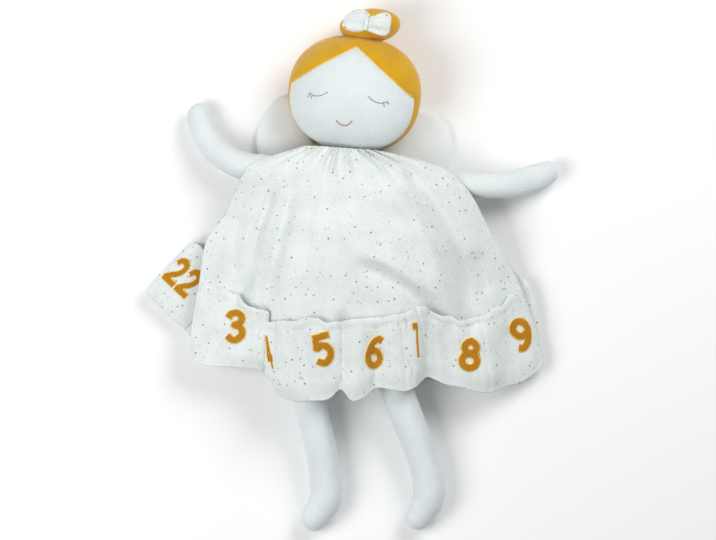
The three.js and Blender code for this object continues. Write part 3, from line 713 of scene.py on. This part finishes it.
def from_head(point):
    """A point in the head's own millimetres as a point of the frame."""
    return place(*(HEAD_FRAME @ Vector(point)))


def hair_planes():
    """A plane through each line of the hair: a point on it and the way up from it."""
    apex = Vector((*HAIR_APEX, 0))
    planes = []
    for end, flip in ((HAIR_LEFT, -1), (HAIR_RIGHT, 1)):
        run = (Vector((*end, 0)) - apex).normalized()
        planes.append((apex, Vector((-run.y, run.x, 0)) * flip))
    return planes


def head_share(x, y):
    """How far a point lies from the head's middle to its edge, which is a little squarer than an ellipse."""
    return (abs(x / HEAD_HALF[0]) ** HEAD_CURVE + abs(y / HEAD_HALF[1]) ** HEAD_CURVE) ** (1 / HEAD_CURVE)


def head_ball():
    bm = ball(6)
    for v in bm.verts:
        x, y, z = scaled(v.co, HEAD_HALF)
        full = math.hypot(v.co.x, v.co.y) / max(1e-6, head_share(x, y))
        v.co = Vector((x * full, y * full, z))
    return bm


def cut(bm, at, normal, keep):
    """Keeps the part of a shape in front of a plane, or behind it."""
    every = bm.verts[:] + bm.edges[:] + bm.faces[:]
    side = {"clear_inner": keep, "clear_outer": not keep}
    bmesh.ops.bisect_plane(bm, geom=every, dist=1e-5, plane_co=at, plane_no=normal, **side)


def head_panel(*cuts):
    """The part of the head's surface that some cuts leave."""
    bm = head_ball()
    for at, normal, keep in cuts:
        cut(bm, at, normal, keep)
    return bm


def head_out(point):
    """The way out of the head's surface at a point."""
    return Vector(c / (h * h) for c, h in zip(point, HEAD_HALF)).normalized()


def panel_seam(x, y):
    """How far forward the seam between the front and the back of the head lies."""
    return PANEL_SEAM + PANEL_LEAN[0] * x + PANEL_LEAN[1] * y


def shape_head(bm, under=0.0, edge=0.0):
    """Draws a panel in along its seams, puts it or its edge under the others, and sets it in the frame."""
    left, right = hair_planes()
    for v in bm.verts:
        x, y, z = v.co
        ahead = z - panel_seam(x, y)
        apex, normal = left if x < HAIR_APEX[0] else right
        above = (v.co - apex).dot(normal)
        depth = HAIR_SEAM_DEPTH + (SEAM_DEPTH - HAIR_SEAM_DEPTH) * (1 - smooth(above, 0, 6))
        dent = depth * math.exp(-(ahead / SEAM_REACH) ** 2)
        if ahead > 0:
            dent = max(dent, SEAM_DEPTH * math.exp(-(above / SEAM_REACH) ** 2))
        dent += under * smooth(ahead, -1.0, 0.5) + edge * (1 - smooth(ahead, 0.0, 1.2))
        v.co = from_head(v.co - head_out(v.co) * dent)
    bm.normal_update()


def joined(first, second):
    """Two shapes as one, merged where they meet."""
    spare = bpy.data.meshes.new("spare")
    second.to_mesh(spare)
    second.free()
    first.from_mesh(spare)
    bpy.data.meshes.remove(spare)
    bmesh.ops.remove_doubles(first, verts=first.verts, dist=1e-4)
    return first


def back_top(y):
    """Level of the upper side of the dress's back."""
    return BACK_LEVEL + CLOTH + (y - HEM_Y) * SLOPE


LEFT_SPLINE, RIGHT_SPLINE = vectors(EDGE_LEFT), vectors(EDGE_RIGHT)


def step_drop(x, y):
    """How far the hem band drops beside the edge of a panel that lies over the next."""
    drop = 0.0
    for high, low, far, depth in STEPS:
        drop += depth * smooth((x - high) / (low - high), 0, 1) * (1 - smooth((x - low) / (far - low), 0, 1))
    return drop * smooth(-y, 6, 52)


def front_point(u, v):
    """A point on the front of the dress: u from -1 to 1 across, v from the neck 0 to the hem 1."""
    fade = min(1.0, SIDE_FADE * (1 - abs(u)))
    turned = max(0.0, 1 - v / TURN_IN[0]) * fade
    v = max(0.0, (v - TURN_IN[0]) / (1 - TURN_IN[0]))

    def across(left, right, peak):
        x, y = left.lerp(right, (u + 1) / 2)
        return x, y + (peak - (left.y + right.y) / 2) * (1 - abs(u) ** 3)

    x, y = across(spline(LEFT_SPLINE, v), spline(RIGHT_SPLINE, v), spline(MIDDLE_Y, v))
    hem = smooth(v, HEM_START, 1.0)
    if hem > 0:
        hem_x, hem_y = across(LEFT_SPLINE[-1], RIGHT_SPLINE[-1], MIDDLE_Y[-1])
        line = sum(height_on(HEM_LINE, hem_x + k) for k in HEM_SOFTEN) / len(HEM_SOFTEN)
        y += hem * (line - hem_y)
    lift = spline(LIFT_LEFT if u < 0 else LIFT_RIGHT, v)
    side = back_top(y) + LAYER_GAP + lift
    drop = DOME_DROP[0] + DOME_DROP[1] * smooth(v, 0.3, 0.7)
    dome = (1 - min(1.0, abs(u)) ** DOME_CURVE) ** drop
    z = side + (spline(MIDDLE_Z, v) - side) * dome + DOME_LIFT * dome
    for line, depth, reach in FOLDS:
        gap, along = distance_to(line, x, y)
        if gap < 3 * reach:
            ends = smooth(along, -0.01, 0.25) * (1 - 0.7 * smooth(along, 0.7, 1.0))
            wide = reach * (FOLD_WIDTH[0] + FOLD_WIDTH[1] * along)
            z -= depth * math.exp(-(gap / wide) ** 2) * ends * fade
    z -= step_drop(x, y) * fade
    gather = max(0.0, 1 - v / NECK_GATHER_REACH) ** 1.4 * min(1.0, 3 * (1 - abs(u)))
    wander = NECK_GATHER_WANDER * noise.noise(Vector((u * 4, v * 2, 5.0)))
    uneven = 0.75 + 0.6 * noise.noise(Vector((u * 3, v, 9.0)))
    z += NECK_GATHER_DEPTH * gather * uneven * (1 + math.cos(NECK_GATHERS * math.pi * u + wander))
    z += SLUMP * dome * noise.noise(Vector((x * 0.022, y * 0.014, 1.0)))
    return Vector((x, y - TURN_IN[1] * turned ** 2, z - TURN_IN[2] * turned))


def front_normal(u, v):
    """The way out of the front of the dress."""
    across = front_point(min(1, u + NEAR), v) - front_point(max(-1, u - NEAR), v)
    down = front_point(u, min(1, v + NEAR)) - front_point(u, max(0, v - NEAR))
    return down.cross(across).normalized()


def hem_share(x):
    """u of a place on the hem."""
    return (x - EDGE_LEFT[-1][0]) / (EDGE_RIGHT[-1][0] - EDGE_LEFT[-1][0]) * 2 - 1


def mouth_row(u):
    """v at which the front meets the line of the pocket mouths."""
    low, high = MOUTH_SEARCH
    for _ in range(HALVINGS):
        middle = (low + high) / 2
        point = front_point(u, middle)
        if point.y > height_on(MOUTH_LINE, point.x):
            low = middle
        else:
            high = middle
    return (low + high) / 2


def digit_lines(number):
    """The middle lines of a number's strokes, one unit tall and centred."""
    text = str(number)
    lines = []
    for i, digit in enumerate(text):
        shift = (i - (len(text) - 1) / 2) * DIGIT_PITCH
        for ends, *stroke in DIGITS[digit]:
            points = vectors(stroke)
            count = (len(points) - 1) * (STROKE_STEPS if len(points) > 2 else 1)
            run = [spline(points, k / count) for k in range(count + 1)]
            lines.append((ends, [(p.x + shift, p.y) for p in run]))
    return lines


def inside_stroke(ends, line, x, y):
    """How far a point lies inside a stroke, whose ends are square, flat or round."""
    gap, share = distance_to(line, x, y)
    if 0 < share < 1:
        return DIGIT_STROKE - gap
    (end, tip, near) = (ends[0], line[0], line[1]) if share <= 0 else (ends[1], line[-1], line[-2])
    out = Vector((tip[0] - near[0], tip[1] - near[1])).normalized()
    way = Vector((x - tip[0], y - tip[1]))
    if end == "r" or way.dot(out) < 0:
        return DIGIT_STROKE - gap
    room = DIGIT_STROKE if end == "s" else 0.0
    return min(DIGIT_STROKE - abs(way.cross(out)), room - way.dot(out))


def lay_number(number, x, y, turn, stretch, height, project):
    """Cuts a number from felt along its strokes and lays it on a surface."""
    lines = digit_lines(number)
    wide = DIGIT_PITCH * len(str(number))
    cells = DIGIT_CELLS[height > NARROW_NUMBER]

    def inside(px, py):
        return max(inside_stroke(ends, line, px, py) for ends, line in lines)

    bm = grid(round(cells * wide), cells)
    for v in bm.verts:
        v.co = Vector(((v.co.x - 0.5) * wide, (v.co.y - 0.5) * DIGIT_ROOM, 0))
    deep = {v: inside(v.co.x, v.co.y) for v in bm.verts}
    outer = [f for f in bm.faces if sum(deep[v] for v in f.verts) < 0]
    bmesh.ops.delete(bm, geom=outer, context="FACES")
    for v in bm.verts:
        if v.is_boundary:
            gap = deep[v]
            right, up = inside(v.co.x + DIGIT_NEAR, v.co.y), inside(v.co.x, v.co.y + DIGIT_NEAR)
            v.co -= Vector((right - gap, up - gap, 0)).normalized() * gap
    for face in bm.faces:
        # Faces near the number's edge take the lighter cloth: a painted highlight along its rim
        face.material_index = int(sum(deep[v] for v in face.verts) / 4 < DIGIT_HIGHLIGHT)
    for v in bm.verts:
        edge = 0.0 if v.is_boundary else deep[v]
        v.co.z = sizes().felt * (FELT_RIM + (1 - FELT_RIM) * smooth(edge, 0.0, DIGIT_RIM))
    wall = bmesh.ops.extrude_edge_only(bm, edges=[e for e in bm.edges if e.is_boundary])
    for part in wall["geom"]:
        if isinstance(part, bmesh.types.BMVert):
            part.co.z = -FELT_SUNK
        elif isinstance(part, bmesh.types.BMFace):
            # The felt's sides take the painted highlight too
            part.material_index = 1
    spin = Matrix.Rotation(math.radians(turn), 2)
    for v in bm.verts:
        flat = spin @ Vector((v.co.x * stretch, v.co.y)) * height
        v.co = project(x + flat.x, y + flat.y, v.co.z)
    sew(f"number_{number:02d}", bm, ["number_felt", "number_edge_highlight"], "body")


def seen_on(tree):
    """Puts points on a surface where the camera sees them."""

    def project(x, y, rise):
        point, back = seen_at(tree, x, y)
        return point + back * rise * MM

    return project


class DOLL_OT_stage(bpy.types.Operator):
    """Lays the floor, sets the lights and puts the camera straight above the doll"""

    bl_idname = "doll.stage"
    bl_label = "Stage"

    def execute(self, context):
        scene = context.scene
        scene.view_settings.view_transform = "Standard"
        bm = bmesh.new()
        bmesh.ops.create_grid(bm, x_segments=2, y_segments=2, size=FLOOR_HALF)
        mesh = bpy.data.meshes.new("floor")
        bm.to_mesh(mesh)
        bm.free()
        floor = bpy.data.objects.new("floor", mesh)
        floor.location.z = FLOOR_LEVEL
        context.collection.objects.link(floor)
        # Matt paper: even and pale, without gloss
        paper = bpy.data.materials.new("floor_paper")
        paper.use_nodes = True
        shader = paper.node_tree.nodes["Principled BSDF"].inputs
        shader["Base Color"].default_value = FLOOR_COLOUR
        shader["Roughness"].default_value = 1.0
        shader["Specular IOR Level"].default_value = 0.0
        mesh.materials.append(paper)
        world = bpy.data.worlds.new("studio")
        world.use_nodes = True
        sky = world.node_tree.nodes["Background"].inputs
        sky["Color"].default_value = SKY_COLOUR
        sky["Strength"].default_value = SKY_STRENGTH
        scene.world = world
        for name, (spot, power) in LIGHTS.items():
            lamp = bpy.data.lights.new(name, "AREA")
            lamp.size = LIGHT_SIZE
            lamp.energy = power
            holder = bpy.data.objects.new(name, lamp)
            holder.location = spot
            holder.rotation_euler = (-Vector(spot)).to_track_quat("-Z", "Y").to_euler()
            context.collection.objects.link(holder)
        lens = bpy.data.cameras.new("photo_camera")
        lens.sensor_width = CAMERA_SENSOR
        lens.lens = CAMERA_LENS
        camera = bpy.data.objects.new("photo_camera", lens)
        centre = place(*PHOTO_CENTRE, 0)
        camera.location = (centre.x, centre.y, CAMERA_HEIGHT)
        context.collection.objects.link(camera)
        scene.camera = camera
        context.view_layer.update()
        return {"FINISHED"}


class DOLL_OT_head(bpy.types.Operator):
    """Sews the face and the hair over the head's filling"""

    bl_idname = "doll.head"
    bl_label = "Head"

    def execute(self, context):
        seam, ahead = Vector((0, 0, PANEL_SEAM)), Vector((-PANEL_LEAN[0], -PANEL_LEAN[1], 1))
        front = (seam, ahead, True)
        left, right = hair_planes()
        split = (Vector((HAIR_APEX[0], 0, 0)), Vector((1, 0, 0)))
        face = head_panel(front, (*left, False), (*right, False))
        shape_head(face)
        tree = BVHTree.FromBMesh(face)
        sew("face_cloth", face, ["skin_cotton"], "head", ["face_panel"], HEAD_CLOTH)
        hair_left = head_panel(front, (*split, False), (*left, True))
        hair = joined(hair_left, head_panel(front, (*split, True), (*right, True)))
        shape_head(hair, edge=HAIR_TUCK)
        sew("hair_front_velvet", hair, ["hair_velvet"], "head", ["hair_front"], HEAD_CLOTH)
        back = head_panel((seam + Vector((0, 0, HAIR_LAP)), ahead, False))
        shape_head(back, under=HAIR_UNDER)
        sew("hair_back_velvet", back, ["hair_velvet"], "head", ["hair_back"], HEAD_CLOTH)
        core = ball(4)
        for v in core.verts:
            bumpy = HEAD_FILL + 0.02 * noise.noise(v.co * 5)
            v.co = from_head(scaled(v.co, HEAD_HALF) * bumpy)
        filling = sew("head_fibre", core, ["filling_fibre"], "head", ["head_filling"])
        self.stitch_hairline()
        self.stitch_face(tree)
        return {"FINISHED"}

    def stitch_hairline(self):
        """A turned velvet edge along the hairline."""
        points = []
        for i in range(-HAIRLINE_STEPS, HAIRLINE_STEPS + 1):
            end = Vector(HAIR_LEFT if i < 0 else HAIR_RIGHT)
            x, y = Vector(HAIR_APEX).lerp(end, abs(i) / HAIRLINE_STEPS)
            level = HEAD_HALF[2] * math.sqrt(max(0.0, 1 - head_share(x, y) ** 2))
            if level >= panel_seam(x, y):
                point = Vector((x, y, level))
                points.append(from_head(point - head_out(point) * (SEAM_DEPTH - 0.1)))
        sew("hairline_edge", thread_line([points], HAIRLINE_CORD), ["hairline_edge"], "head")

    def stitch_face(self, tree):
        """Closed eyes with lashes, and a small mouth, in thread."""
        width = sizes().thread

        def stitched(name, lines, thread, thick):
            runs = []
            for line in lines:
                points = vectors(line)
                count = 24 if len(points) > 2 else 6
                flat = [spline(points, i / count) for i in range(count + 1)]
                runs.append([seen_at(tree, p.x, p.y)[0] + Vector((0, 0, 0.1 * MM)) for p in flat])
            sew(name, thread_line(runs, thick), [thread], "head")

        stitched("eye_left_stitch", (EYE_LEFT, *LASHES_LEFT), "eye_thread", width)
        stitched("eye_right_stitch", (EYE_RIGHT, *LASHES_RIGHT), "eye_thread", width)
        stitched("mouth_stitch", (MOUTH,), "mouth_thread", width * 1.2)


class DOLL_OT_bun(bpy.types.Operator):
    """Sews the bun and ties the bow on it"""

    bl_idname = "doll.bun"
    bl_label = "Bun and bow"

    def execute(self, context):
        bm = ball(5)
        for v in bm.verts:
            angle = math.atan2(v.co.z, v.co.x)
            pucker = 1 - BUN_PUCKER * max(0.0, -v.co.y) * (0.5 + 0.5 * math.cos(BUN_PUCKERS * angle))
            point = scaled(v.co, BUN_HALF) * pucker
            v.co = Vector(BUN_AT) + Matrix.Rotation(BUN_TURN, 3, "Z") @ point
        cut(bm, Vector((0, BUN_BASE, 0)), Vector((0, 1, 0)), True)
        for v in bm.verts:
            v.co = from_head(v.co)
        bun = sew("bun_velvet", bm, ["hair_velvet"], "head", ["hair_bun"])
        for name, way in (("left", -1), ("right", 1)):
            self.loop(name, way)
        bm = ball(4)
        for v in bm.verts:
            point = scaled(boxed(v.co, KNOT_SQUARE), KNOT_HALF)
            point.z *= 1 + KNOT_PLEAT[0] * math.cos(point.x / KNOT_HALF[0] * KNOT_PLEAT[1])
            v.co = from_head(Vector(BOW_AT) + point)
        knot = sew("bow_knot_cloth", bm, ["speckled_linen"], "head", ["bow_knot"])
        return {"FINISHED"}

    def loop(self, name, way):
        """One loop of the bow: folded cloth, pinched at the knot and open at its end."""
        bm = ball(5)
        for v in bm.verts:
            boxy = boxed(v.co, BOW_SQUARE)
            t = (boxy.x + 1) / 2
            tall = spline(BOW_TALL[way], t) / 2
            puff = BOW_THICK / 2 * (BOW_FLAT + (1 - BOW_FLAT) * math.sin(t * math.pi) ** 0.7)
            pleat = BOW_PLEAT[0] * math.cos(boxy.y * BOW_PLEAT[1] + 0.6 * way) * (1 - t) ** 0.8
            ripple = BOW_RIPPLE[0] * math.sin(boxy.y * BOW_RIPPLE[1] + 2 * way) * t
            along = t * (BOW_REACH + BOW_LAP) - BOW_LAP
            crease = BOW_CREASE * math.exp(-(along / BOW_CREASE_REACH) ** 2)
            up = spline(BOW_MIDDLE[way], t) + boxy.y * tall
            point = Vector((way * along, up, boxy.z * puff + pleat + ripple - crease))
            v.co = from_head(Vector(BOW_AT) + point)
        piece = sew(f"bow_loop_{name}_cloth", bm, ["speckled_linen"], "head", [f"bow_loop_{name}"])


class DOLL_OT_limbs(bpy.types.Operator):
    """Stuffs and sews the arms and legs"""

    bl_idname = "doll.limbs"
    bl_label = "Arms and legs"

    def execute(self, context):
        for name, stations in LIMBS.items():
            bm = stuffed_tube(stations, CREASES.get(name, ()))
            piece = sew(f"{name}_cover", bm, ["skin_cotton"], name, [name])
        return {"FINISHED"}


class DOLL_OT_wings(bpy.types.Operator):
    """Sews the two padded wings"""

    bl_idname = "doll.wings"
    bl_label = "Wings"

    def execute(self, context):
        for name, way, corners in (("wing_left", -1, WING_LEFT), ("wing_right", 1, WING_RIGHT)):
            outline = vectors(corners)
            middle = Vector(WING_MIDDLE)
            rays = [spline(outline, i / WING_STEPS) - middle for i in range(WING_STEPS + 1)]
            bm = globe(96, 32)
            spin = Matrix.Rotation(WING_TILT, 2)
            for v in bm.verts:
                angle = math.atan2(v.co.y, v.co.x)
                reach = self.reach(rays, angle)
                share = math.hypot(v.co.x, v.co.y)
                flat = middle + Vector((math.cos(angle), math.sin(angle))) * reach * share
                puff = math.copysign(abs(v.co.z) ** WING_PUFF, v.co.z) * WING_THICK / 2
                puff *= 1 + WING_LUMPS * noise.noise(Vector((flat.x * 0.08, flat.y * 0.08, way)))
                turned = spin @ Vector((way * flat.x, flat.y))
                v.co = place(WING_ORIGIN[0] + turned.x, WING_ORIGIN[1] + turned.y, WING_THICK / 2 + puff)
            piece = sew(f"{name}_cover", bm, ["wing_linen"], name, [name])
        return {"FINISHED"}

    def reach(self, rays, angle):
        """How far the outline lies from the wing's middle in one direction."""
        way = Vector((math.cos(angle), math.sin(angle)))
        far = 0.0
        closed = rays + rays[:1]
        for a, b in zip(closed, closed[1:]):
            run = b - a
            bottom = way.x * run.y - way.y * run.x
            if abs(bottom) < 1e-9:
                continue
            along = (a.x * run.y - a.y * run.x) / bottom
            share = (a.x * way.y - a.y * way.x) / bottom
            if along > 0 and -1e-6 <= share <= 1 + 1e-6:
                far = max(far, along)
        return far


class DOLL_OT_body(bpy.types.Operator):
    """Stuffs the torso and neck and threads the elastic of the neckline"""

    bl_idname = "doll.body"
    bl_label = "Torso and neck"

    def execute(self, context):
        lean = Matrix.Translation((0, HEM_Y, BACK_LEVEL)) @ Matrix.Rotation(math.atan(SLOPE), 4, "X")
        rings = vectors(TORSO_RINGS)
        bm = globe(48, 40)
        for v in bm.verts:
            share, angle = on_globe(v.co)
            up = smooth(share, 0.08, 0.92) * 0.5 + clamp(share * 1.2 - 0.1) * 0.5
            along, half, deep = spline(rings, up)
            close = min(1.0, math.sqrt(max(0.0, math.sin(share * math.pi))) * 1.02)
            point = Vector((
                TORSO_X + half * close * math.cos(angle), TORSO_END - HEM_Y + along,
                CLOTH + LAYER_GAP + deep / 2 + deep / 2 * close * math.sin(angle),
            ))
            v.co = place(*(lean @ point))
        torso = sew("torso_cover", bm, ["skin_cotton"], "body", ["torso"])
        bm = ball(4)
        for v in bm.verts:
            v.co = place(*(Vector(NECK_AT) + v.co * NECK_BALL / 2))
        neck = sew("neck_cover", bm, ["skin_cotton"], "neck", ["neck"])
        bm = bmesh.new()
        made = bmesh.ops.create_circle(bm, segments=10, radius=ELASTIC_CORD / 2)
        bmesh.ops.translate(bm, vec=(ELASTIC_WIDTH / 2, 0, 0), verts=made["verts"])
        ring = bm.verts[:] + bm.edges[:]
        full = {"angle": 2 * math.pi, "steps": 72, "use_merge": True}
        bmesh.ops.spin(bm, geom=ring, cent=(0, 0, 0), axis=(0, 1, 0), **full)
        bmesh.ops.scale(bm, vec=(1, 1, ELASTIC_DEPTH / ELASTIC_WIDTH), verts=bm.verts)
        height = back_top(ELASTIC_AT[1]) + LAYER_GAP + (ELASTIC_DEPTH + ELASTIC_CORD) / 2
        for v in bm.verts:
            v.co = place(ELASTIC_AT[0] + v.co.x, ELASTIC_AT[1] + v.co.y, height + v.co.z)
        sew("neck_elastic_cord", bm, ["filling_fibre"], "body", ["neck_elastic"])
        return {"FINISHED"}


class DOLL_OT_dress(bpy.types.Operator):
    """Cuts and gathers the front, back, side and folded panels of the dress"""

    bl_idname = "doll.dress"
    bl_label = "Dress"

    def execute(self, context):
        columns, thick = sizes().detail, sizes().cloth
        bm = laid_sheet(columns, columns * 2 // 3, lambda s, t: place(*front_point(s * 2 - 1, 1 - t)))
        front = sew("dress_front_linen", bm, ["speckled_linen"], None, ["dress_front"], thick)
        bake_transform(front)
        bm = laid_sheet(120, 80, self.back_point)
        back = sew("dress_back_linen", bm, ["speckled_linen"], "body", ["dress_back"], thick)
        self.panel("dress_side_linen", "dress_side_panel", side_point, SIDE_LENGTH, SIDE_HEIGHT)
        self.panel("dress_fold_linen", "dress_fold_panel", fold_point, *FOLD_SIZE)
        return {"FINISHED"}

    def back_point(self, s, t):
        down = 1 - t
        flat = spline(vectors(BACK_LEFT), down).lerp(spline(vectors(BACK_RIGHT), down), s)
        bow = 1 - abs(2 * s - 1) ** 3
        flat.y += bow * (-26 + 24 * (1 - smooth(down, 0.0, 1.0))) * smooth(down, 0.1, 0.9)
        hem = smooth(down, 0.6, 1.0) * smooth(down, 0.85, 1.0)
        flat.y += hem * (height_on(BACK_HEM, flat.x) - flat.y)
        wave = 0.25 * noise.noise(Vector((flat.x * 0.03, flat.y * 0.02, 3.0)))
        return place(flat.x, flat.y, back_top(flat.y) - 0.2 + wave)

    def panel(self, name, node, where, width, height):
        """A flat panel of the dress that lies on its back."""

        def rippled(s, t):
            ripple = 0.25 * noise.noise(Vector((s * 4, t * 3, 7.0)))
            return where(s * width, t * height, ripple + TUCK_CLOTH - 0.2)

        bm = laid_sheet(60, 40, rippled)
        piece = sew(name, bm, ["speckled_linen"], "body", [node], PANEL_CLOTH)


def side_point(along, up, rise):
    """A point on the side panel: along its hem, up from it, and out of it."""
    middle = SIDE_HEIGHT / 2
    in_x, in_y = SIDE_ROUND - along, abs(up - middle) - middle + SIDE_ROUND
    if in_x > 0 and in_y > 0:
        pull = max(in_x, in_y) / math.hypot(in_x, in_y)
        along = SIDE_ROUND - in_x * pull
        up = middle + math.copysign(middle - SIDE_ROUND + in_y * pull, up - middle)
    turned = Matrix.Rotation(SIDE_TURN, 2) @ Vector((along, up - middle))
    x, y = SIDE_AT[0] + turned.x, SIDE_AT[1] + turned.y
    return place(x, y, back_top(y) + LAYER_GAP + rise)


def fold_point(along, up, rise):
    """A point on the folded panel, which lies above the side panel's pockets."""
    x = FOLD_AT[0] - FOLD_SIZE[0] / 2 + along
    y = FOLD_AT[1] - FOLD_SIZE[1] / 2 + up
    level = TUCK_CLOTH + 2 * TUCK_DEPTH + 4 * LAYER_GAP
    return place(x, y, back_top(y) + level + rise)


def sewn_sides(s):
    """1 across the middle of a pocket and 0 at its sewn sides."""
    return (1 - abs(2 * s - 1) ** 5) ** 0.8


def pocket_rise(t, room):
    """How far a pocket's cloth stands off up its height: sewn at the bottom, open at the hemmed mouth."""
    up = smooth(t, -0.02, 0.3) * (0.45 + 0.55 * t)
    hem = MOUTH_HEM[2] * (1 - abs(clamp((t - MOUTH_HEM[0]) / MOUTH_HEM[1], -1.0)) ** 4)
    stitch = MOUTH_STITCH[2] * math.exp(-((t - MOUTH_STITCH[0]) / MOUTH_STITCH[1]) ** 2)
    return 0.5 + room * up + hem + stitch


class DOLL_OT_pockets(bpy.types.Operator):
    """Sews the pockets on the hem and their felt numbers"""

    bl_idname = "doll.pockets"
    bl_label = "Pockets and numbers"

    def execute(self, context):
        points, faces = [], []
        for pocket in FRONT_POCKETS:
            self.front_pocket(*pocket[:3], points, faces)
        tree = BVHTree.FromPolygons(points, faces)
        for number, _, _, x, y, turn, stretch in FRONT_POCKETS:
            lay_number(number, x, y, turn, stretch, NUMBER_HEIGHT, seen_on(tree))
        for number, start, width, height in SIDE_POCKETS:
            self.side_pocket(number, start, width, height)
        for number, x, width in TUCK_POCKETS:
            self.tucked_pocket(number, x, width)
        for number in BACK_NUMBERS:
            self.back_pocket(number)
        return {"FINISHED"}

    def finish_pocket(self, number, bm, flat, rests_on):
        """Sews a pocket and gives its surface for the number."""
        tree = BVHTree.FromBMesh(bm)
        name = f"pocket_{number:02d}"
        piece = sew(f"{name}_linen", bm, ["speckled_linen"], "body", [name], POCKET_CLOTH)
        return tree

    def front_pocket(self, number, start, end, points, faces):
        room = sizes().pocket_room
        ends = (hem_share(start), hem_share(end))
        first, last = FRONT_POCKETS[0][1], FRONT_POCKETS[-1][2]
        rows = {}

        def where(s, t):
            lap = POCKET_LAP * smooth(s, 0.95, 1.0) * (number != FRONT_POCKETS[-1][0])
            u = ends[0] + (ends[1] - ends[0]) * s + lap * (ends[1] - ends[0]) / (end - start)
            if s not in rows:
                rows[s] = mouth_row(u)
            row = 1 + (rows[s] - 1) * t
            x = start + (end - start) * s
            seam = math.exp(-(min(x - start, end - x) / 2.0) ** 2)
            full = smooth(x, first + FULL_FIRST[0], first + FULL_FIRST[1])
            full *= (1 - smooth(x, last - FULL_LAST, last)) * (1 - 0.12 * seam)
            ruffle = RUFFLE[0] * t * t * noise.noise(Vector((x * RUFFLE[1], t, 0)))
            ruffle += RIPPLE[0] * noise.noise(Vector((x * RIPPLE[1], t, 4)))
            rise = pocket_rise(t, room * full) + ruffle * full - 0.25 * lap
            return place(*(front_point(u, row) + front_normal(u, row) * rise))

        bm = laid_sheet(48, 40, where)
        known = len(points)
        points.extend(v.co.copy() for v in bm.verts)
        faces.extend([known + v.index for v in f.verts] for f in bm.faces)
        slack = WIDE_SLACK if end - start > FOLDED_WIDTH else FOLDED_SLACK
        self.finish_pocket(number, bm, ((end - start) * slack, POCKET_TALL), ["dress_front_linen"])

    def side_pocket(self, number, start, width, height):
        def where(s, t):
            rise = TUCK_CLOTH + pocket_rise(t, SIDE_ROOM * sewn_sides(s))
            return side_point(start + s * width, 0.5 + t * height, rise)

        bm = laid_sheet(40, 40, where)
        tree = self.finish_pocket(number, bm, (width * 1.1, height), ["dress_side_linen"])
        turn = math.degrees(SIDE_TURN)
        if number == 22:
            x, y, size, stretch = SIDE_NUMBER
            lay_number(number, x, y, turn, stretch, size, seen_on(tree))
            return
        middle = side_point(start + width / 2, height * NUMBER_UP, 0) / MM - SHIFT

        def project(x, y, rise):
            hit = tree.ray_cast(place(x, y, 200), Vector((0, 0, -1)))
            return hit[0] + Vector((0, 0, rise * MM))

        lay_number(number, middle.x, middle.y, turn, HIDDEN_STRETCH, NARROW_NUMBER, project)

    def tucked_pocket(self, number, x, width):
        height = FOLD_SIZE[1] - 2
        start = x - width / 2 - (FOLD_AT[0] - FOLD_SIZE[0] / 2)

        def where(s, t):
            return fold_point(start + s * width, 1 + t * height, -pocket_rise(t, TUCK_ROOM * sewn_sides(s)))

        bm = laid_sheet(32, 32, where, (0, 0, -1))
        tree = self.finish_pocket(number, bm, (width * 1.15, height), ["dress_fold_linen"])
        middle = fold_point(start + width / 2, height * NUMBER_UP, 0) / MM - SHIFT
        self.number_below(number, tree, middle, TUCK_NUMBER)

    def back_pocket(self, number):
        low, high = (Vector(corner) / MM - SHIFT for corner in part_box(f"pocket_{number}"))
        wide, tall = high.x - low.x, high.y - low.y

        def where(s, t):
            y = low.y + t * tall
            sag = min(pocket_rise(t, BACK_ROOM * sewn_sides(s)), BACK_CLEAR + (y - HEM_Y) * SLOPE)
            return place(low.x + s * wide, y, back_top(y) - CLOTH - sag)

        bm = laid_sheet(32, 36, where, (0, 0, -1))
        tree = self.finish_pocket(number, bm, (wide * 1.3, tall), ["dress_back_linen"])
        middle = Vector(((low.x + high.x) / 2, low.y + tall * NUMBER_UP, 0))
        self.number_below(number, tree, middle, NARROW_NUMBER)

    def number_below(self, number, tree, middle, size):
        """A number on a pocket that faces down, which reads right from below."""

        def project(x, y, rise):
            hit = tree.ray_cast(place(2 * middle.x - x, y, -100), Vector((0, 0, 1)))
            return hit[0] - Vector((0, 0, rise * 0.6 * MM))

        lay_number(number, middle.x, middle.y, 0, HIDDEN_STRETCH, size, project)


OPERATORS = (
    DOLL_OT_stage, DOLL_OT_body, DOLL_OT_head, DOLL_OT_bun, DOLL_OT_limbs, DOLL_OT_wings, DOLL_OT_dress,
    DOLL_OT_pockets,
)


class DOLL_PT_sidebar(bpy.types.Panel):
    """Lists the doll's making steps, sizes and colours"""

    bl_idname = "DOLL_PT_sidebar"
    bl_label = "Cloth angel doll"
    bl_space_type = "VIEW_3D"
    bl_region_type = "UI"
    bl_category = "Doll"

    def draw(self, context):
        for operator in OPERATORS:
            self.layout.operator(operator.bl_idname)
        for group in (context.scene.doll_sizes, context.scene.doll_colours):
            for key in group.__annotations__:
                self.layout.prop(group, key)


CLASSES = (DollColours, DollSizes, *OPERATORS, DOLL_PT_sidebar)


def register():
    for cls in CLASSES:
        bpy.utils.register_class(cls)
    bpy.types.Scene.doll_colours = PointerProperty(type=DollColours)
    bpy.types.Scene.doll_sizes = PointerProperty(type=DollSizes)


def unregister():
    del bpy.types.Scene.doll_colours
    del bpy.types.Scene.doll_sizes
    for cls in reversed(CLASSES):
        bpy.utils.unregister_class(cls)


def main():
    register()
    bpy.ops.doll.stage()
    bpy.ops.doll.body()
    bpy.ops.doll.head()
    bpy.ops.doll.bun()
    bpy.ops.doll.limbs()
    bpy.ops.doll.wings()
    bpy.ops.doll.dress()
    bpy.ops.doll.pockets()


if __name__ == "__main__":
    main()
